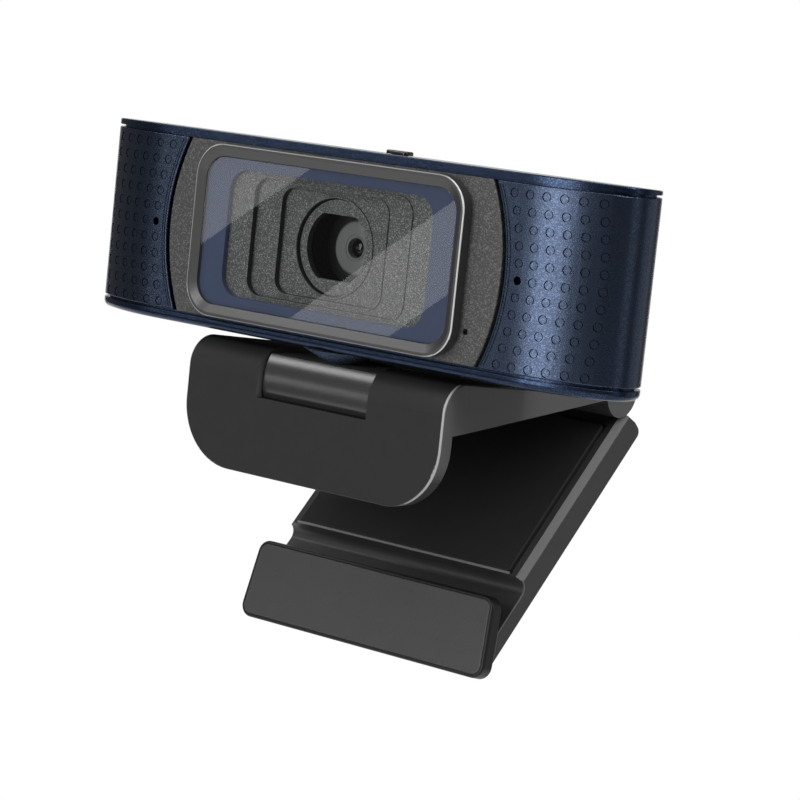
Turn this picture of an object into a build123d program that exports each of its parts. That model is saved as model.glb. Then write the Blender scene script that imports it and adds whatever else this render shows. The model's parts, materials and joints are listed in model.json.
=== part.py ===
from build123d import *
import math
import os

# Webcam on a folding monitor clip, in millimetres.
# X runs to the right as the camera is seen from in front, Y to the back, Z up.
# The pieces are drawn from the clip's inner corner, where its arm's underside meets the back of its front
# panel, and exported from the seat, the place on that underside that rests on a monitor's top edge.

# Fits
SLIP = 0.05
SEAT_FIT = 0.02
RUN_GAP = 0.25

# Head: plan outline, in the head's own frame (the window's middle is at z = FRONT_Z)
HEAD_Y = -0.7
HEAD_GAP = 1.3
FACE_Y = -1.7
FLAT_MARGIN = 2.2
WING_R = 29.8
WING_TURN = 27.3
END_R = 6.2
BACK_Y = 20.0

# Head: heights
WINDOW_MARGIN = 0.225
WALL_T = 1.8
WALL_ROUND = 0.2
GROOVE_H = 0.4
GROOVE_IN = 0.8
CAP_RIM_ROUND = 0.12
TOP_CAP_H = 1.1
TOP_CAP_FALL = 2.2
TOP_CAP_ROUND = 0.25
BOTTOM_CAP_H = 1.55
BOTTOM_CAP_ROUND = 1.0
SPLIT_Y = 11.6
SPLIT_GAP = 0.15

# Dotted wings
DOT_ROWS = 11
DOT_COLUMNS = 6
DOT_MARGIN_TOP = 1.5
DOT_MARGIN_BOTTOM = 0.95
DOT_COLUMN_PITCH = 2.57
DOT_MARGIN_SIDE = 3.1
DOT_BOW_FIRST = 2.2
DOT_BOW_LAST = 1.1
DOT_R = 0.71
DOT_DEPTH = 0.35
DOT_PIP_R = 0.56
DOT_PIP_SUNK = 0.06
MIC_HOLE_R = 0.65

# Fascia and the bulkhead behind it
FRONT_Z = 0.275
FASCIA_T = 1.6
FASCIA_SET_BACK = 0.02
FASCIA_MARGIN = 6.45
FASCIA_BOW = 3.15
FASCIA_GAP = 0.65
FASCIA_EDGE_R = 0.2
EDGE_LINES = (0.35, 0.85)
EDGE_LINE_W = 0.14
EDGE_LINE_DEPTH = 0.13
EDGE_LINE_END = 0.45
BULKHEAD_T = 1.3
BULKHEAD_MARGIN = 5.5

# Raised window with its cover glass and trim ring
WINDOW_W = 53.7
WINDOW_H = 27.0
WINDOW_R = 5.2
WINDOW_PROUD = 1.87
WINDOW_RIM = 0.35
WINDOW_EDGE = 0.25
WINDOW_BORDER_X = 1.75
WINDOW_BORDER_Z = 1.95
GLASS_R = 3.6
GLASS_T = 0.5
GLASS_SUNK = 0.58
TRIM_BAND_X = 4.65
TRIM_BAND_Z = 1.65
TRIM_INNER_R = 3.5

# Stepped lens plate, lens ring and hood
PLATE_LEDGE_X = 0.8
PLATE_LEDGE_Z = 0.45
PLATE_R = 3.5
PLATE_FRONT_Y = -1.62
PLATE_BACK_Y = 1.4
TERRACE_1_X = 4.75
TERRACE_1_Z = 0.8
STEP_1_R = 2.6
STEP_1_DEPTH = 0.74
TERRACE_2_X = 5.1
TERRACE_2_Z = 0.95
STEP_2_R = 2.3
STEP_2_DEPTH = 0.74
STEP_EDGE_R = 0.08
STEP_RIM = 0.2
STEP_RIM_W = 0.3
RING_R = 7.3
RING_GAP = 0.2
RING_SUNK = 0.5
OPENING_R = 5.95
OPENING_FLAT = 5.0
SHUTTER_SPACE = 1.2
HOOD_WALL = 1.0
HOOD_BORE_R = 6.2

# Lens, focus motor, sensor and board
BARREL_R = 4.25
BARREL_FRONT_Y = 4.95
BARREL_LENGTH = 4.6
PUPIL_R = 1.5
LENS_FRONT_SUNK = 0.25
LENS_FRONT_T = 1.6
FOCUS_TRAVEL = 0.3
MOTOR_SIDE = 13.0
MOTOR_CORNER_R = 1.0
MOTOR_FRONT_Y = 5.6
BOARD_Y = 11.2
BOARD_T = 1.0
BOARD_MARGIN = 5.0
BOARD_CORNER_R = 1.5
BOARD_H = 21.0
SENSOR_W = 6.4
SENSOR_H = 5.6
SENSOR_T = 0.9
CHIP_SIDE = 7.0
CHIP_T = 1.0
CHIP_X = -16.0
HEADER_W = 8.0
HEADER_H = 4.0
HEADER_T = 3.5
HEADER_WALL = 0.8
HEADER_FLOOR = 1.0
HEADER_X = 14.0
HEADER_Z = -5.0
POST_IN = 0.3
POST_Z = 8.0
POST_R = 1.7
BOARD_SCREW_R = 0.75
BOARD_SCREW_HEAD_R = 1.4
BOARD_SCREW_HEAD_T = 1.0
BOARD_SCREW_LENGTH = 5.0

# Microphones and status light
MIC_R = 2.0
MIC_T = 1.6
MIC_GASKET_T = 0.7
MIC_SEAT_Y = 0.35
LED_MARGIN = 1.11
LED_UP = 4.585
LED_HOLE_R = 0.5
LED_SIDE = 1.6
LED_T = 1.0
PIPE_R = 1.0

# Privacy shutter and its knob
SHUTTER_T = 0.5
SHUTTER_W = 12.8
SHUTTER_H = 12.6
SHUTTER_TRAVEL = 12.5
KNOB_X = 6.3
KNOB_Y = 5.5
KNOB_W = 4.3
KNOB_D = 2.2
KNOB_H = 0.62
KNOB_ROUND = 0.3
KNOB_LIFT = 0.1
STEM_W = 2.4
STEM_D = 1.0
STEM_ENTRY = 0.35
SHELF_T = 0.6
SHELF_DROP = 0.7

# Housing screws and cable gland
BOSS_MARGIN = 5.5
BOSS_Z = 8.5
BOSS_R = 2.2
BOSS_SPLIT_Y = 8.0
CASE_SCREW_R = 0.8
CASE_SCREW_HEAD_R = 1.5
CASE_SCREW_HEAD_T = 1.1
CASE_SCREW_LENGTH = 9.0
CASE_SCREW_SUNK = 0.6
GLAND_Z = -6.0
GLAND_R = 3.2
GLAND_FLANGE_R = 4.2
GLAND_FLANGE_T = 0.9
GLAND_BORE_R = 1.7
GLAND_OUT = 1.2

# Pan neck
PAN_Y = 3.8
NECK_TOP_R = 6.2
NECK_LOW_R = 2.4
NECK_GAP = 0.15
NECK_SHAFT_R = 1.9
NECK_PEG_R = 2.1
NECK_PEG_DEPTH = 1.6
PAN_WASHER_R = 2.4
PAN_WASHER_T = 0.5
PAN_SCREW_R = 0.8
PAN_SCREW_LENGTH = 4.0
PAN_SCREW_HEAD_R = 1.5
PAN_SCREW_HEAD_T = 1.0

# Tilt drum in the clip's notch
TILT_Y = 5.1
TILT_Z = 2.95
DRUM_R = 7.0
DRUM_TOP = 4.05
DRUM_BACK = 4.4
DRUM_BODY_LOW = 2.2
DRUM_HUB_R = 1.5
DRUM_SKIRT_T = 0.5
DRUM_SKIRT_LOW = -2.7
DRUM_EDGE_R = 0.3
TILT_FORWARD = 8.0
NOTCH_HALF = 11.2
NOTCH_Z = 0.15
NOTCH_IN = 1.55
TILT_PIN_R = 0.8
TILT_PIN_IN_DRUM = 3.2
TILT_PIN_IN_CLIP = 3.0

# Upper clip
CLIP_HALF = 26.0
CLIP_REAR_HALF = 24.3
PANEL_T = 2.75
PANEL_DROP = 12.05
PANEL_CORNER_R = 10.0
CLIP_ROUND_R = 4.6
ARM_TOP = 7.85
ARM_TOP_REAR = 6.35
ARM_FALL_END_Y = 21.3
ARM_RISE_Y = 37.3
ARM_SLOPE = 5.7
SEAT_Y = 8.0
CLIP_EDGE_R = 0.45
CLIP_INNER_EDGE_R = 0.3
GRIP_W = 40.0
GRIP_H = 6.5
GRIP_T = 0.8
GRIP_PROUD = 0.3
GRIP_Z = -6.2
GRIP_R = 2.0

# Rear hinge
HINGE_Y = 44.8
HINGE_Z = 5.05
LOBE_R = 4.0
KNUCKLE_R = 3.9
KNUCKLE_HALF = 12.0
HINGE_PIN_R = 1.0
HINGE_PIN_HALF = 24.0

# Flap, measured along and square to its length from the rear hinge
FLAP_ANGLE = 46.8
FLAP_HALF = 24.3
FLAP_TOP = 3.62
FLAP_BOTTOM = 9.2
FLAP_REAR = 1.2
FLAP_REAR_FOOT = 0.3
FLAP_REAR_FOOT_N = 6.8
FLAP_REAR_ROUND = 1.2
FLAP_CHAMFER = 1.0
FLAP_EDGE_R = 0.3
FLAP_FULL_LENGTH = 35.65
VALLEY_N = 6.2
VALLEY_R = 1.5
TONGUE_TOP_END = 44.7
TONGUE_BOTTOM_END = 48.7
PAD_HALF = 21.8
PAD_REAR = 4.4
PAD_PROUD = 0.55
PAD_SUNK = 0.5
PAD_GROOVE = 0.3
PAD_EDGE_R = 0.2
PAD_LIP = 0.4
PAD_LIP_R = 0.15

# Foot plate
FOOT_PIN_U = 44.9
FOOT_PIN_N = 7.6
FOOT_PIN_R = 0.6
FOOT_PIN_HALF = 14.0
FOOT_LEAN = 12.0
FOOT_BACK = 1.67
FOOT_T = 2.5
FOOT_UP = 6.2
FOOT_DOWN = 6.65
FOOT_TOP_HALF = 24.35
FOOT_BOTTOM_HALF = 25.45
FOOT_CORNER_R = 2.1
FOOT_RIM = 0.55
FOOT_EDGE_R = 0.4
FOOT_PAD_SUNK = 0.7
FOOT_PAD_PROUD = 0.12
LUG_X = 10.0
LUG_W = 4.0
LUG_R = 1.3

# Sizes that follow
WALL_TOP = FRONT_Z + WINDOW_H / 2 + WINDOW_MARGIN
WALL_BOTTOM = FRONT_Z - WINDOW_H / 2 - WINDOW_MARGIN
TOP_CAP_LOW = WALL_TOP + GROOVE_H
TOP_CAP_TOP = TOP_CAP_LOW + TOP_CAP_H
BOTTOM_CAP_TOP = WALL_BOTTOM - GROOVE_H
BOTTOM_CAP_LOW = BOTTOM_CAP_TOP - BOTTOM_CAP_H
FASCIA_HALF_MID = WINDOW_W / 2 + FASCIA_MARGIN
FASCIA_HALF_END = FASCIA_HALF_MID - FASCIA_BOW
FLAT_HALF = FASCIA_HALF_MID + FLAT_MARGIN
DOT_FIRST_X = FASCIA_HALF_MID + DOT_MARGIN_SIDE
BULKHEAD_HALF = FLAT_HALF + BULKHEAD_MARGIN
BOSS_X = FLAT_HALF + BOSS_MARGIN
POST_X = FASCIA_HALF_MID - POST_IN
BOARD_W = 2 * (POST_X + BOARD_MARGIN)
LED_X = WINDOW_W / 2 + LED_MARGIN
LED_Z = FRONT_Z - WINDOW_H / 2 + LED_UP
GLASS_W = WINDOW_W - 2 * WINDOW_BORDER_X
GLASS_H = WINDOW_H - 2 * WINDOW_BORDER_Z
TRIM_INNER_W = GLASS_W - 2 * TRIM_BAND_X
TRIM_INNER_H = GLASS_H - 2 * TRIM_BAND_Z
PLATE_W = GLASS_W - 2 * PLATE_LEDGE_X
PLATE_H = GLASS_H - 2 * PLATE_LEDGE_Z
STEP_1_W = TRIM_INNER_W - 2 * TERRACE_1_X
STEP_1_H = TRIM_INNER_H - 2 * TERRACE_1_Z
STEP_2_W = STEP_1_W - 2 * TERRACE_2_X
STEP_2_H = STEP_1_H - 2 * TERRACE_2_Z
DOT_ROW_PITCH = (WALL_TOP - DOT_MARGIN_TOP - WALL_BOTTOM - DOT_MARGIN_BOTTOM) / (DOT_ROWS - 1)
HEAD_LOW_Z = ARM_TOP + HEAD_GAP
HEAD_Z = HEAD_LOW_Z - BOTTOM_CAP_LOW
HEAD = Pos(0, HEAD_Y, HEAD_Z)
CLEAR = 60.0
TINY = 1e-4


def slab(outline, front_y, back_y, z=0.0):
    """Prism along Y of an outline drawn in X and Z."""
    plane = Plane(origin=(0, back_y, z), x_dir=(1, 0, 0), z_dir=(0, -1, 0))
    return extrude(plane * outline, amount=back_y - front_y)


def across(outline, half, plane=Plane.YZ):
    """Prism along X, the same distance both ways, of an outline drawn in Y and Z."""
    return extrude(plane * outline, amount=half, both=True)


def rod_x(y, z, radius, x_from, x_to):
    """Round bar along X."""
    return extrude(Plane(origin=(x_from, y, z), z_dir=(1, 0, 0)) * Circle(radius), amount=x_to - x_from)


def rod_y(x, z, radius, y_from, y_to):
    """Round bar along Y."""
    return extrude(Plane(origin=(x, y_from, z), z_dir=(0, 1, 0)) * Circle(radius), amount=y_to - y_from)


def rod_z(x, y, radius, z_from, z_to):
    """Round bar along Z."""
    return extrude(Plane(origin=(x, y, z_from)) * Circle(radius), amount=z_to - z_from)


def block(x, y, z):
    """Box between two limits on each axis."""
    size = Box(x[1] - x[0], y[1] - y[0], z[1] - z[0], align=(Align.MIN, Align.MIN, Align.MIN))
    return Pos(x[0], y[0], z[0]) * size


def edges_where(piece, test):
    """Edges of a piece whose middle point passes a test."""
    return [edge for edge in piece.edges() if test(edge.position_at(0.5))]


def near(value, target):
    """Whether two lengths are the same."""
    return abs(value - target) < TINY


def both_sides(piece):
    """A piece and its mirror image in the plane x = 0."""
    return [piece, mirror(piece, about=Plane.YZ)]


# Head plan
WING_CENTRE = (FLAT_HALF, FACE_Y + WING_R)
END_CENTRE = (
    WING_CENTRE[0] + (WING_R - END_R) * math.sin(math.radians(WING_TURN)),
    WING_CENTRE[1] - (WING_R - END_R) * math.cos(math.radians(WING_TURN)),
)
BACK_REACH = BACK_Y - END_CENTRE[1]
BACK_R = (END_CENTRE[0] ** 2 + BACK_REACH ** 2 - END_R ** 2) / (2 * (BACK_REACH - END_R))
BACK_CENTRE = (0.0, BACK_Y - BACK_R)
BACK_ANGLE = math.degrees(math.atan2(END_CENTRE[1] - BACK_CENTRE[1], END_CENTRE[0]))


def on_arc(centre, radius, degrees):
    """Point of an arc."""
    turn = math.radians(degrees)
    return (centre[0] + radius * math.cos(turn), centre[1] + radius * math.sin(turn))


def head_plan(inset):
    """Outline of the head from above, moved inward by an inset."""
    wing_end = -90 + WING_TURN
    right = []
    for centre, radius, start, end in (
        (WING_CENTRE, WING_R - inset, -90, wing_end),
        (END_CENTRE, END_R - inset, wing_end, BACK_ANGLE),
    ):
        right.append([on_arc(centre, radius, a) for a in (start, (start + end) / 2, end)])
    left = [[(-x, y) for x, y in reversed(points)] for points in reversed(right)]
    back = [right[1][2], (0, BACK_Y - inset), left[0][0]]
    edges = [Line(left[1][2], right[0][0])]
    edges += [ThreePointArc(*points) for points in (*right, back, *left)]
    return make_face(edges)


def head_layer(inset, low, high):
    """Layer of the head's plan between two heights."""
    return extrude(Pos(0, 0, low) * head_plan(inset), amount=high - low)


def head_wall():
    """Wall of the head between its two grooves."""
    return head_layer(0, WALL_BOTTOM, WALL_TOP) - head_layer(WALL_T, WALL_BOTTOM, WALL_TOP)


def soften_wall(wall):
    """Rounds a piece of the wall on its front edges beside the fascia, then on its outer rims."""
    core = head_layer(WALL_T / 4, WALL_BOTTOM - WALL_T, WALL_TOP + WALL_T)

    def bowed(point):
        """Whether a point is on a front edge beside the fascia."""
        return near(point.Z, FRONT_Z) and near(point.Y, FACE_Y) and abs(point.X) < FLAT_HALF - WALL_ROUND

    def rim(point):
        """Whether a point is on an outer rim."""
        return (near(point.Z, WALL_TOP) or near(point.Z, WALL_BOTTOM)) and not core.is_inside(point)

    for test in (bowed, rim):
        edges = edges_where(wall, test)
        wall = fillet(edges, WALL_ROUND) if edges else wall
    return wall


def barrel_outline(half_mid, half_end, low, high):
    """Outline with straight top and bottom and sides that bow outward."""
    middle = (low + high) / 2
    return make_face([
        Line((-half_end, low), (half_end, low)),
        ThreePointArc((half_end, low), (half_mid, middle), (half_end, high)),
        Line((half_end, high), (-half_end, high)),
        ThreePointArc((-half_end, high), (-half_mid, middle), (-half_end, low)),
    ])


# Depths that follow
FASCIA_FRONT = FACE_Y + FASCIA_SET_BACK
FASCIA_BACK = FASCIA_FRONT + FASCIA_T
BULKHEAD_BACK = FASCIA_BACK + BULKHEAD_T
WINDOW_FRONT = FASCIA_FRONT - WINDOW_PROUD
GLASS_FRONT = WINDOW_FRONT + GLASS_SUNK
GLASS_BACK = GLASS_FRONT + GLASS_T
STEP_1_Y = PLATE_FRONT_Y + STEP_1_DEPTH
STEP_2_Y = STEP_1_Y + STEP_2_DEPTH
RING_FRONT = STEP_2_Y + RING_SUNK
HOOD_FRONT = PLATE_BACK_Y + SHUTTER_SPACE
BOARD_BACK = BOARD_Y + BOARD_T
SHUTTER_Y = PLATE_BACK_Y + RUN_GAP
PAN_HEAD_Y = PAN_Y - HEAD_Y


def dot_places():
    """Each dot's place on the right wing as (x, z, turn of the wall there, is it the microphone's)."""
    places = []
    middle = (DOT_ROWS - 1) / 2
    for column in range(DOT_COLUMNS):
        share = column / (DOT_COLUMNS - 1)
        bow = DOT_BOW_FIRST + (DOT_BOW_LAST - DOT_BOW_FIRST) * share
        for row in range(DOT_ROWS):
            offset = (middle - row) / middle
            x = DOT_FIRST_X + column * DOT_COLUMN_PITCH - bow * offset ** 2
            turn = math.asin(max(0.0, (x - FLAT_HALF) / WING_R))
            z = WALL_TOP - DOT_MARGIN_TOP - row * DOT_ROW_PITCH
            places.append((x, z, turn, column == 0 and row == middle))
    return places


def dot_cutters():
    """Round tools, square to the wing, that ring and sink the dots and pierce the microphone holes."""
    tools = []
    for x, z, turn, is_mic in dot_places():
        y = WING_CENTRE[1] - WING_R * math.cos(turn)
        out = (math.sin(turn), -math.cos(turn), 0)
        radius = MIC_HOLE_R if is_mic else DOT_R
        depth = 2 * WALL_T if is_mic else DOT_DEPTH
        plane = Plane(origin=(x - out[0] * depth, y - out[1] * depth, z), z_dir=out)
        tool = extrude(plane * Circle(radius), amount=depth + DOT_R)
        if not is_mic:
            tool -= extrude(plane * Circle(DOT_PIP_R), amount=depth - DOT_PIP_SUNK)
        tools += both_sides(tool)
    return tools


MIC_X = DOT_FIRST_X
PLATE_FACE = RectangleRounded(PLATE_W, PLATE_H, PLATE_R)
PLATE_HOLE = RectangleRounded(PLATE_W + 2 * SLIP, PLATE_H + 2 * SLIP, PLATE_R + SLIP)


def four(x, z):
    """The four places (+-x, +-z) about the front's centre."""
    return [(sx * x, FRONT_Z + sz * z) for sx in (-1, 1) for sz in (-1, 1)]


def wing_edge(inset):
    """Outline that follows the wings' bowed edges, some way into the wings."""
    reach = FASCIA_GAP + inset
    return barrel_outline(FASCIA_HALF_MID + reach, FASCIA_HALF_END + reach, WALL_BOTTOM, WALL_TOP)


def front_shell():
    """Dotted wings joined behind the fascia by a bulkhead with posts and screw bosses."""
    wall = head_wall() & block((-CLEAR, CLEAR), (FACE_Y - CLEAR, SPLIT_Y), (WALL_BOTTOM, WALL_TOP))
    wall -= slab(wing_edge(0), FACE_Y - WALL_T, FASCIA_BACK)
    wall = soften_wall(wall)
    lines_z = (WALL_BOTTOM + EDGE_LINE_END, WALL_TOP - EDGE_LINE_END)
    lines_room = block((-CLEAR, CLEAR), (FACE_Y - WALL_T, FACE_Y + EDGE_LINE_DEPTH), lines_z)
    for inset in EDGE_LINES:
        line = wing_edge(inset + EDGE_LINE_W) - wing_edge(inset)
        wall -= slab(line, FACE_Y - WALL_T, FACE_Y + EDGE_LINE_DEPTH) & lines_room
    plate = block((-BULKHEAD_HALF, BULKHEAD_HALF), (FASCIA_BACK, BULKHEAD_BACK), (WALL_BOTTOM, WALL_TOP))
    plate &= head_layer(WALL_T / 2, WALL_BOTTOM, WALL_TOP)
    shell = wall + plate - slab(PLATE_HOLE, FASCIA_BACK, BULKHEAD_BACK, FRONT_Z)
    for x, z in four(POST_X, POST_Z):
        shell += rod_y(x, z, POST_R, FASCIA_BACK, BOARD_Y)
    for x, z in four(BOSS_X, BOSS_Z):
        boss = rod_y(x, z, BOSS_R, FACE_Y, BOSS_SPLIT_Y) & head_layer(WALL_T / 2, WALL_BOTTOM, WALL_TOP)
        shell += boss
    shell -= [
        rod_y(x, z, BOARD_SCREW_R + SEAT_FIT, BOARD_BACK - BOARD_SCREW_LENGTH, BOARD_Y)
        for x, z in four(POST_X, POST_Z)
    ]
    shell -= [
        rod_y(x, z, CASE_SCREW_R + SEAT_FIT, BOSS_SPLIT_Y - CASE_SCREW_LENGTH / 2, BOSS_SPLIT_Y)
        for x, z in four(BOSS_X, BOSS_Z)
    ]
    mic_seat = rod_y(MIC_X, 0, MIC_R + SLIP, MIC_SEAT_Y, BULKHEAD_BACK + MIC_T)
    shell -= both_sides(mic_seat)
    shell -= rod_y(LED_X, LED_Z, PIPE_R + SLIP, FASCIA_BACK, BULKHEAD_BACK)
    return shell - dot_cutters()


def case_screw_places():
    """Each housing screw's axis and the depth at which its head seats."""
    return [(x, z, BACK_WALL_AT_BOSS - CASE_SCREW_SUNK - CASE_SCREW_HEAD_T) for x, z in four(BOSS_X, BOSS_Z)]


BACK_WALL_AT_BOSS = BACK_CENTRE[1] + math.sqrt(BACK_R ** 2 - BOSS_X ** 2)


def rear_shell():
    """Back of the head, with screw bosses and the cable's hole."""
    back = block((-CLEAR, CLEAR), (SPLIT_Y + SPLIT_GAP, BACK_Y + CLEAR), (WALL_BOTTOM, WALL_TOP))
    shell = soften_wall(head_wall() & back)
    room = head_layer(0, WALL_BOTTOM, WALL_TOP)
    for x, z, seat in case_screw_places():
        shell += rod_y(x, z, BOSS_R, BOSS_SPLIT_Y, BACK_Y) & room
    for x, z, seat in case_screw_places():
        shell -= rod_y(x, z, CASE_SCREW_R + RUN_GAP, BOSS_SPLIT_Y, BACK_Y)
        shell -= rod_y(x, z, CASE_SCREW_HEAD_R + SLIP, seat, BACK_Y)
    return shell - rod_y(0, GLAND_Z, GLAND_R, BACK_Y - 2 * WALL_T, BACK_Y)


def top_cap():
    """Thin lid whose top falls a little to the back, with the privacy knob's slot."""
    lid = head_layer(0, TOP_CAP_LOW, TOP_CAP_TOP)
    fall = Pos(0, FACE_Y, TOP_CAP_TOP) * Rot(-TOP_CAP_FALL, 0, 0)
    lid -= fall * Box(2 * CLEAR, 2 * CLEAR, CLEAR, align=(Align.CENTER, Align.CENTER, Align.MIN))
    lid = fillet(lid.faces().sort_by(Axis.Z)[-1].edges(), TOP_CAP_ROUND)
    lid += head_layer(GROOVE_IN, WALL_TOP, TOP_CAP_LOW)
    reach = STEM_W / 2 + RUN_GAP
    slot = block(
        (KNOB_X - SHUTTER_TRAVEL - reach, KNOB_X + reach),
        (KNOB_Y - STEM_D / 2 - RUN_GAP, KNOB_Y + STEM_D / 2 + RUN_GAP),
        (WALL_TOP, TOP_CAP_TOP),
    )
    return lid - slot


def bottom_cap():
    """Floor of the head with a rounded lower edge and the pan shaft's bore."""
    lid = head_layer(0, BOTTOM_CAP_LOW, BOTTOM_CAP_TOP)
    lid = fillet(lid.faces().sort_by(Axis.Z)[0].edges(), BOTTOM_CAP_ROUND)
    lid = fillet(lid.faces().sort_by(Axis.Z)[-1].edges(), CAP_RIM_ROUND)
    lid += head_layer(GROOVE_IN, BOTTOM_CAP_TOP, WALL_BOTTOM)
    return lid - rod_z(0, PAN_HEAD_Y, NECK_SHAFT_R + SLIP, BOTTOM_CAP_LOW, WALL_BOTTOM)


def fascia():
    """Flat middle of the front, with bowed side edges, the lens plate's opening and the light's hole."""
    outline = barrel_outline(FASCIA_HALF_MID, FASCIA_HALF_END, WALL_BOTTOM, WALL_TOP)
    plate = slab(outline, FASCIA_FRONT, FASCIA_BACK)
    sides = edges_where(plate, lambda point: near(point.Y, FASCIA_FRONT) and abs(point.X) > WINDOW_W / 2)
    plate = fillet(sides, FASCIA_EDGE_R)
    plate -= slab(PLATE_HOLE, FASCIA_FRONT, FASCIA_BACK, FRONT_Z)
    return plate - rod_y(LED_X, LED_Z, LED_HOLE_R, FASCIA_FRONT, FASCIA_BACK)


def window_frame():
    """Raised frame whose border slopes in from a bright rim to the glass."""
    outer = RectangleRounded(WINDOW_W, WINDOW_H, WINDOW_R)
    frame = slab(outer, WINDOW_FRONT, FASCIA_FRONT, FRONT_Z)
    frame = fillet(frame.faces().sort_by(Axis.Y)[0].edges(), WINDOW_EDGE)
    mouth_w = GLASS_W + 2 * SLIP
    mouth_h = GLASS_H + 2 * SLIP
    mouth = RectangleRounded(mouth_w, mouth_h, GLASS_R + SLIP)
    frame -= slab(mouth, WINDOW_FRONT, FASCIA_FRONT, FRONT_Z)
    inset = 2 * (WINDOW_RIM + WINDOW_EDGE)
    wide = RectangleRounded(WINDOW_W - inset, WINDOW_H - inset, WINDOW_R - inset / 2)
    at_front = Plane(origin=(0, WINDOW_FRONT, FRONT_Z), x_dir=(1, 0, 0), z_dir=(0, -1, 0))
    at_glass = Plane(origin=(0, GLASS_FRONT, FRONT_Z), x_dir=(1, 0, 0), z_dir=(0, -1, 0))
    return frame - loft([at_front * wide, at_glass * mouth])


def cover_glass():
    """Clear pane in front of the lens plate."""
    return slab(RectangleRounded(GLASS_W, GLASS_H, GLASS_R), GLASS_FRONT, GLASS_BACK, FRONT_Z)


def trim_ring():
    """Blue band between the glass and the lens plate."""
    outer = RectangleRounded(GLASS_W, GLASS_H, GLASS_R)
    inner = RectangleRounded(TRIM_INNER_W, TRIM_INNER_H, TRIM_INNER_R)
    return slab(outer - inner, GLASS_BACK, FASCIA_FRONT, FRONT_Z)


def lens_plate():
    """Plate that steps down towards the lens: two rounded rectangles and a round seat, each with a raised rim."""
    plate = slab(PLATE_FACE, PLATE_FRONT_Y, PLATE_BACK_Y, FRONT_Z)
    steps = (
        (RectangleRounded(STEP_1_W, STEP_1_H, STEP_1_R), PLATE_FRONT_Y, STEP_1_Y),
        (RectangleRounded(STEP_2_W, STEP_2_H, STEP_2_R), STEP_1_Y, STEP_2_Y),
        (Circle(RING_R + RING_GAP), STEP_2_Y, PLATE_BACK_Y),
    )
    for outline, front, back in steps:
        rim_y = front - STEP_RIM
        plate += slab(offset(outline, STEP_RIM_W), rim_y, front, FRONT_Z)
        plate -= slab(outline, rim_y, back, FRONT_Z)
        plate = fillet(edges_where(plate, lambda point: near(point.Y, rim_y)), STEP_EDGE_R)
    return plate


def lens_ring():
    """Round ring with an opening flattened at its top and bottom."""
    opening = Circle(OPENING_R) & Rectangle(2 * OPENING_R, 2 * OPENING_FLAT)
    return slab(Circle(RING_R) - opening, RING_FRONT, PLATE_BACK_Y, FRONT_Z)


def lens_hood():
    """Black tube between the shutter and the focus motor."""
    ring = Circle(HOOD_BORE_R + HOOD_WALL) - Circle(HOOD_BORE_R)
    return slab(ring, HOOD_FRONT, MOTOR_FRONT_Y, FRONT_Z)


def lens_barrel():
    """Barrel that moves to focus, with a stop and a seat for the front element."""
    back = BARREL_FRONT_Y + BARREL_LENGTH
    barrel = rod_y(0, FRONT_Z, BARREL_R, BARREL_FRONT_Y, back)
    return barrel - rod_y(0, FRONT_Z, PUPIL_R + SLIP, BARREL_FRONT_Y, back)


def lens_front():
    """Front lens element, domed forward."""
    front = BARREL_FRONT_Y + LENS_FRONT_SUNK
    glass = rod_y(0, FRONT_Z, PUPIL_R, front, front + LENS_FRONT_T)
    edge = glass.faces().sort_by(Axis.Y)[0].edges()
    return fillet(edge, min(PUPIL_R, LENS_FRONT_T) / 2)


def focus_motor():
    """Fixed housing of the focus motor, with the barrel's bore and the sensor's well."""
    body = slab(RectangleRounded(MOTOR_SIDE, MOTOR_SIDE, MOTOR_CORNER_R), MOTOR_FRONT_Y, BOARD_Y, FRONT_Z)
    body -= rod_y(0, FRONT_Z, BARREL_R + SLIP, MOTOR_FRONT_Y, BOARD_Y)
    well = Rectangle(SENSOR_W + 2 * RUN_GAP, SENSOR_H + 2 * RUN_GAP)
    return body - slab(well, BOARD_Y - SENSOR_T - RUN_GAP, BOARD_Y, FRONT_Z)


def image_sensor():
    """Sensor chip on the board's front."""
    return slab(Rectangle(SENSOR_W, SENSOR_H), BOARD_Y - SENSOR_T, BOARD_Y, FRONT_Z)


def camera_board():
    """Circuit board that carries the sensor, motor, processor and light."""
    board = slab(RectangleRounded(BOARD_W, BOARD_H, BOARD_CORNER_R), BOARD_Y, BOARD_BACK, FRONT_Z)
    board -= [rod_y(x, z, BOARD_SCREW_R + SLIP, BOARD_Y, BOARD_BACK) for x, z in four(POST_X, POST_Z)]
    return board


def board_screws():
    """Screws that hold the board to its posts."""
    screws = []
    for x, z in four(POST_X, POST_Z):
        shank = rod_y(x, z, BOARD_SCREW_R, BOARD_BACK - BOARD_SCREW_LENGTH, BOARD_BACK)
        screws.append(shank + rod_y(x, z, BOARD_SCREW_HEAD_R, BOARD_BACK, BOARD_BACK + BOARD_SCREW_HEAD_T))
    return screws


def video_chip():
    """Processor on the board's back."""
    return Pos(CHIP_X, 0, 0) * slab(Rectangle(CHIP_SIDE, CHIP_SIDE), BOARD_BACK, BOARD_BACK + CHIP_T, FRONT_Z)


def cable_header():
    """Connector for the cable on the board's back."""
    shape = slab(Rectangle(HEADER_W, HEADER_H), BOARD_BACK, BOARD_BACK + HEADER_T, HEADER_Z)
    mouth = Rectangle(HEADER_W - 2 * HEADER_WALL, HEADER_H - 2 * HEADER_WALL)
    well = slab(mouth, BOARD_BACK + HEADER_FLOOR, BOARD_BACK + HEADER_T, HEADER_Z)
    return Pos(HEADER_X, 0, 0) * (shape - well)


def microphones():
    """One microphone capsule behind each wing's sound hole."""
    front = MIC_SEAT_Y + MIC_GASKET_T
    return both_sides(rod_y(MIC_X, 0, MIC_R, front, front + MIC_T))


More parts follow.
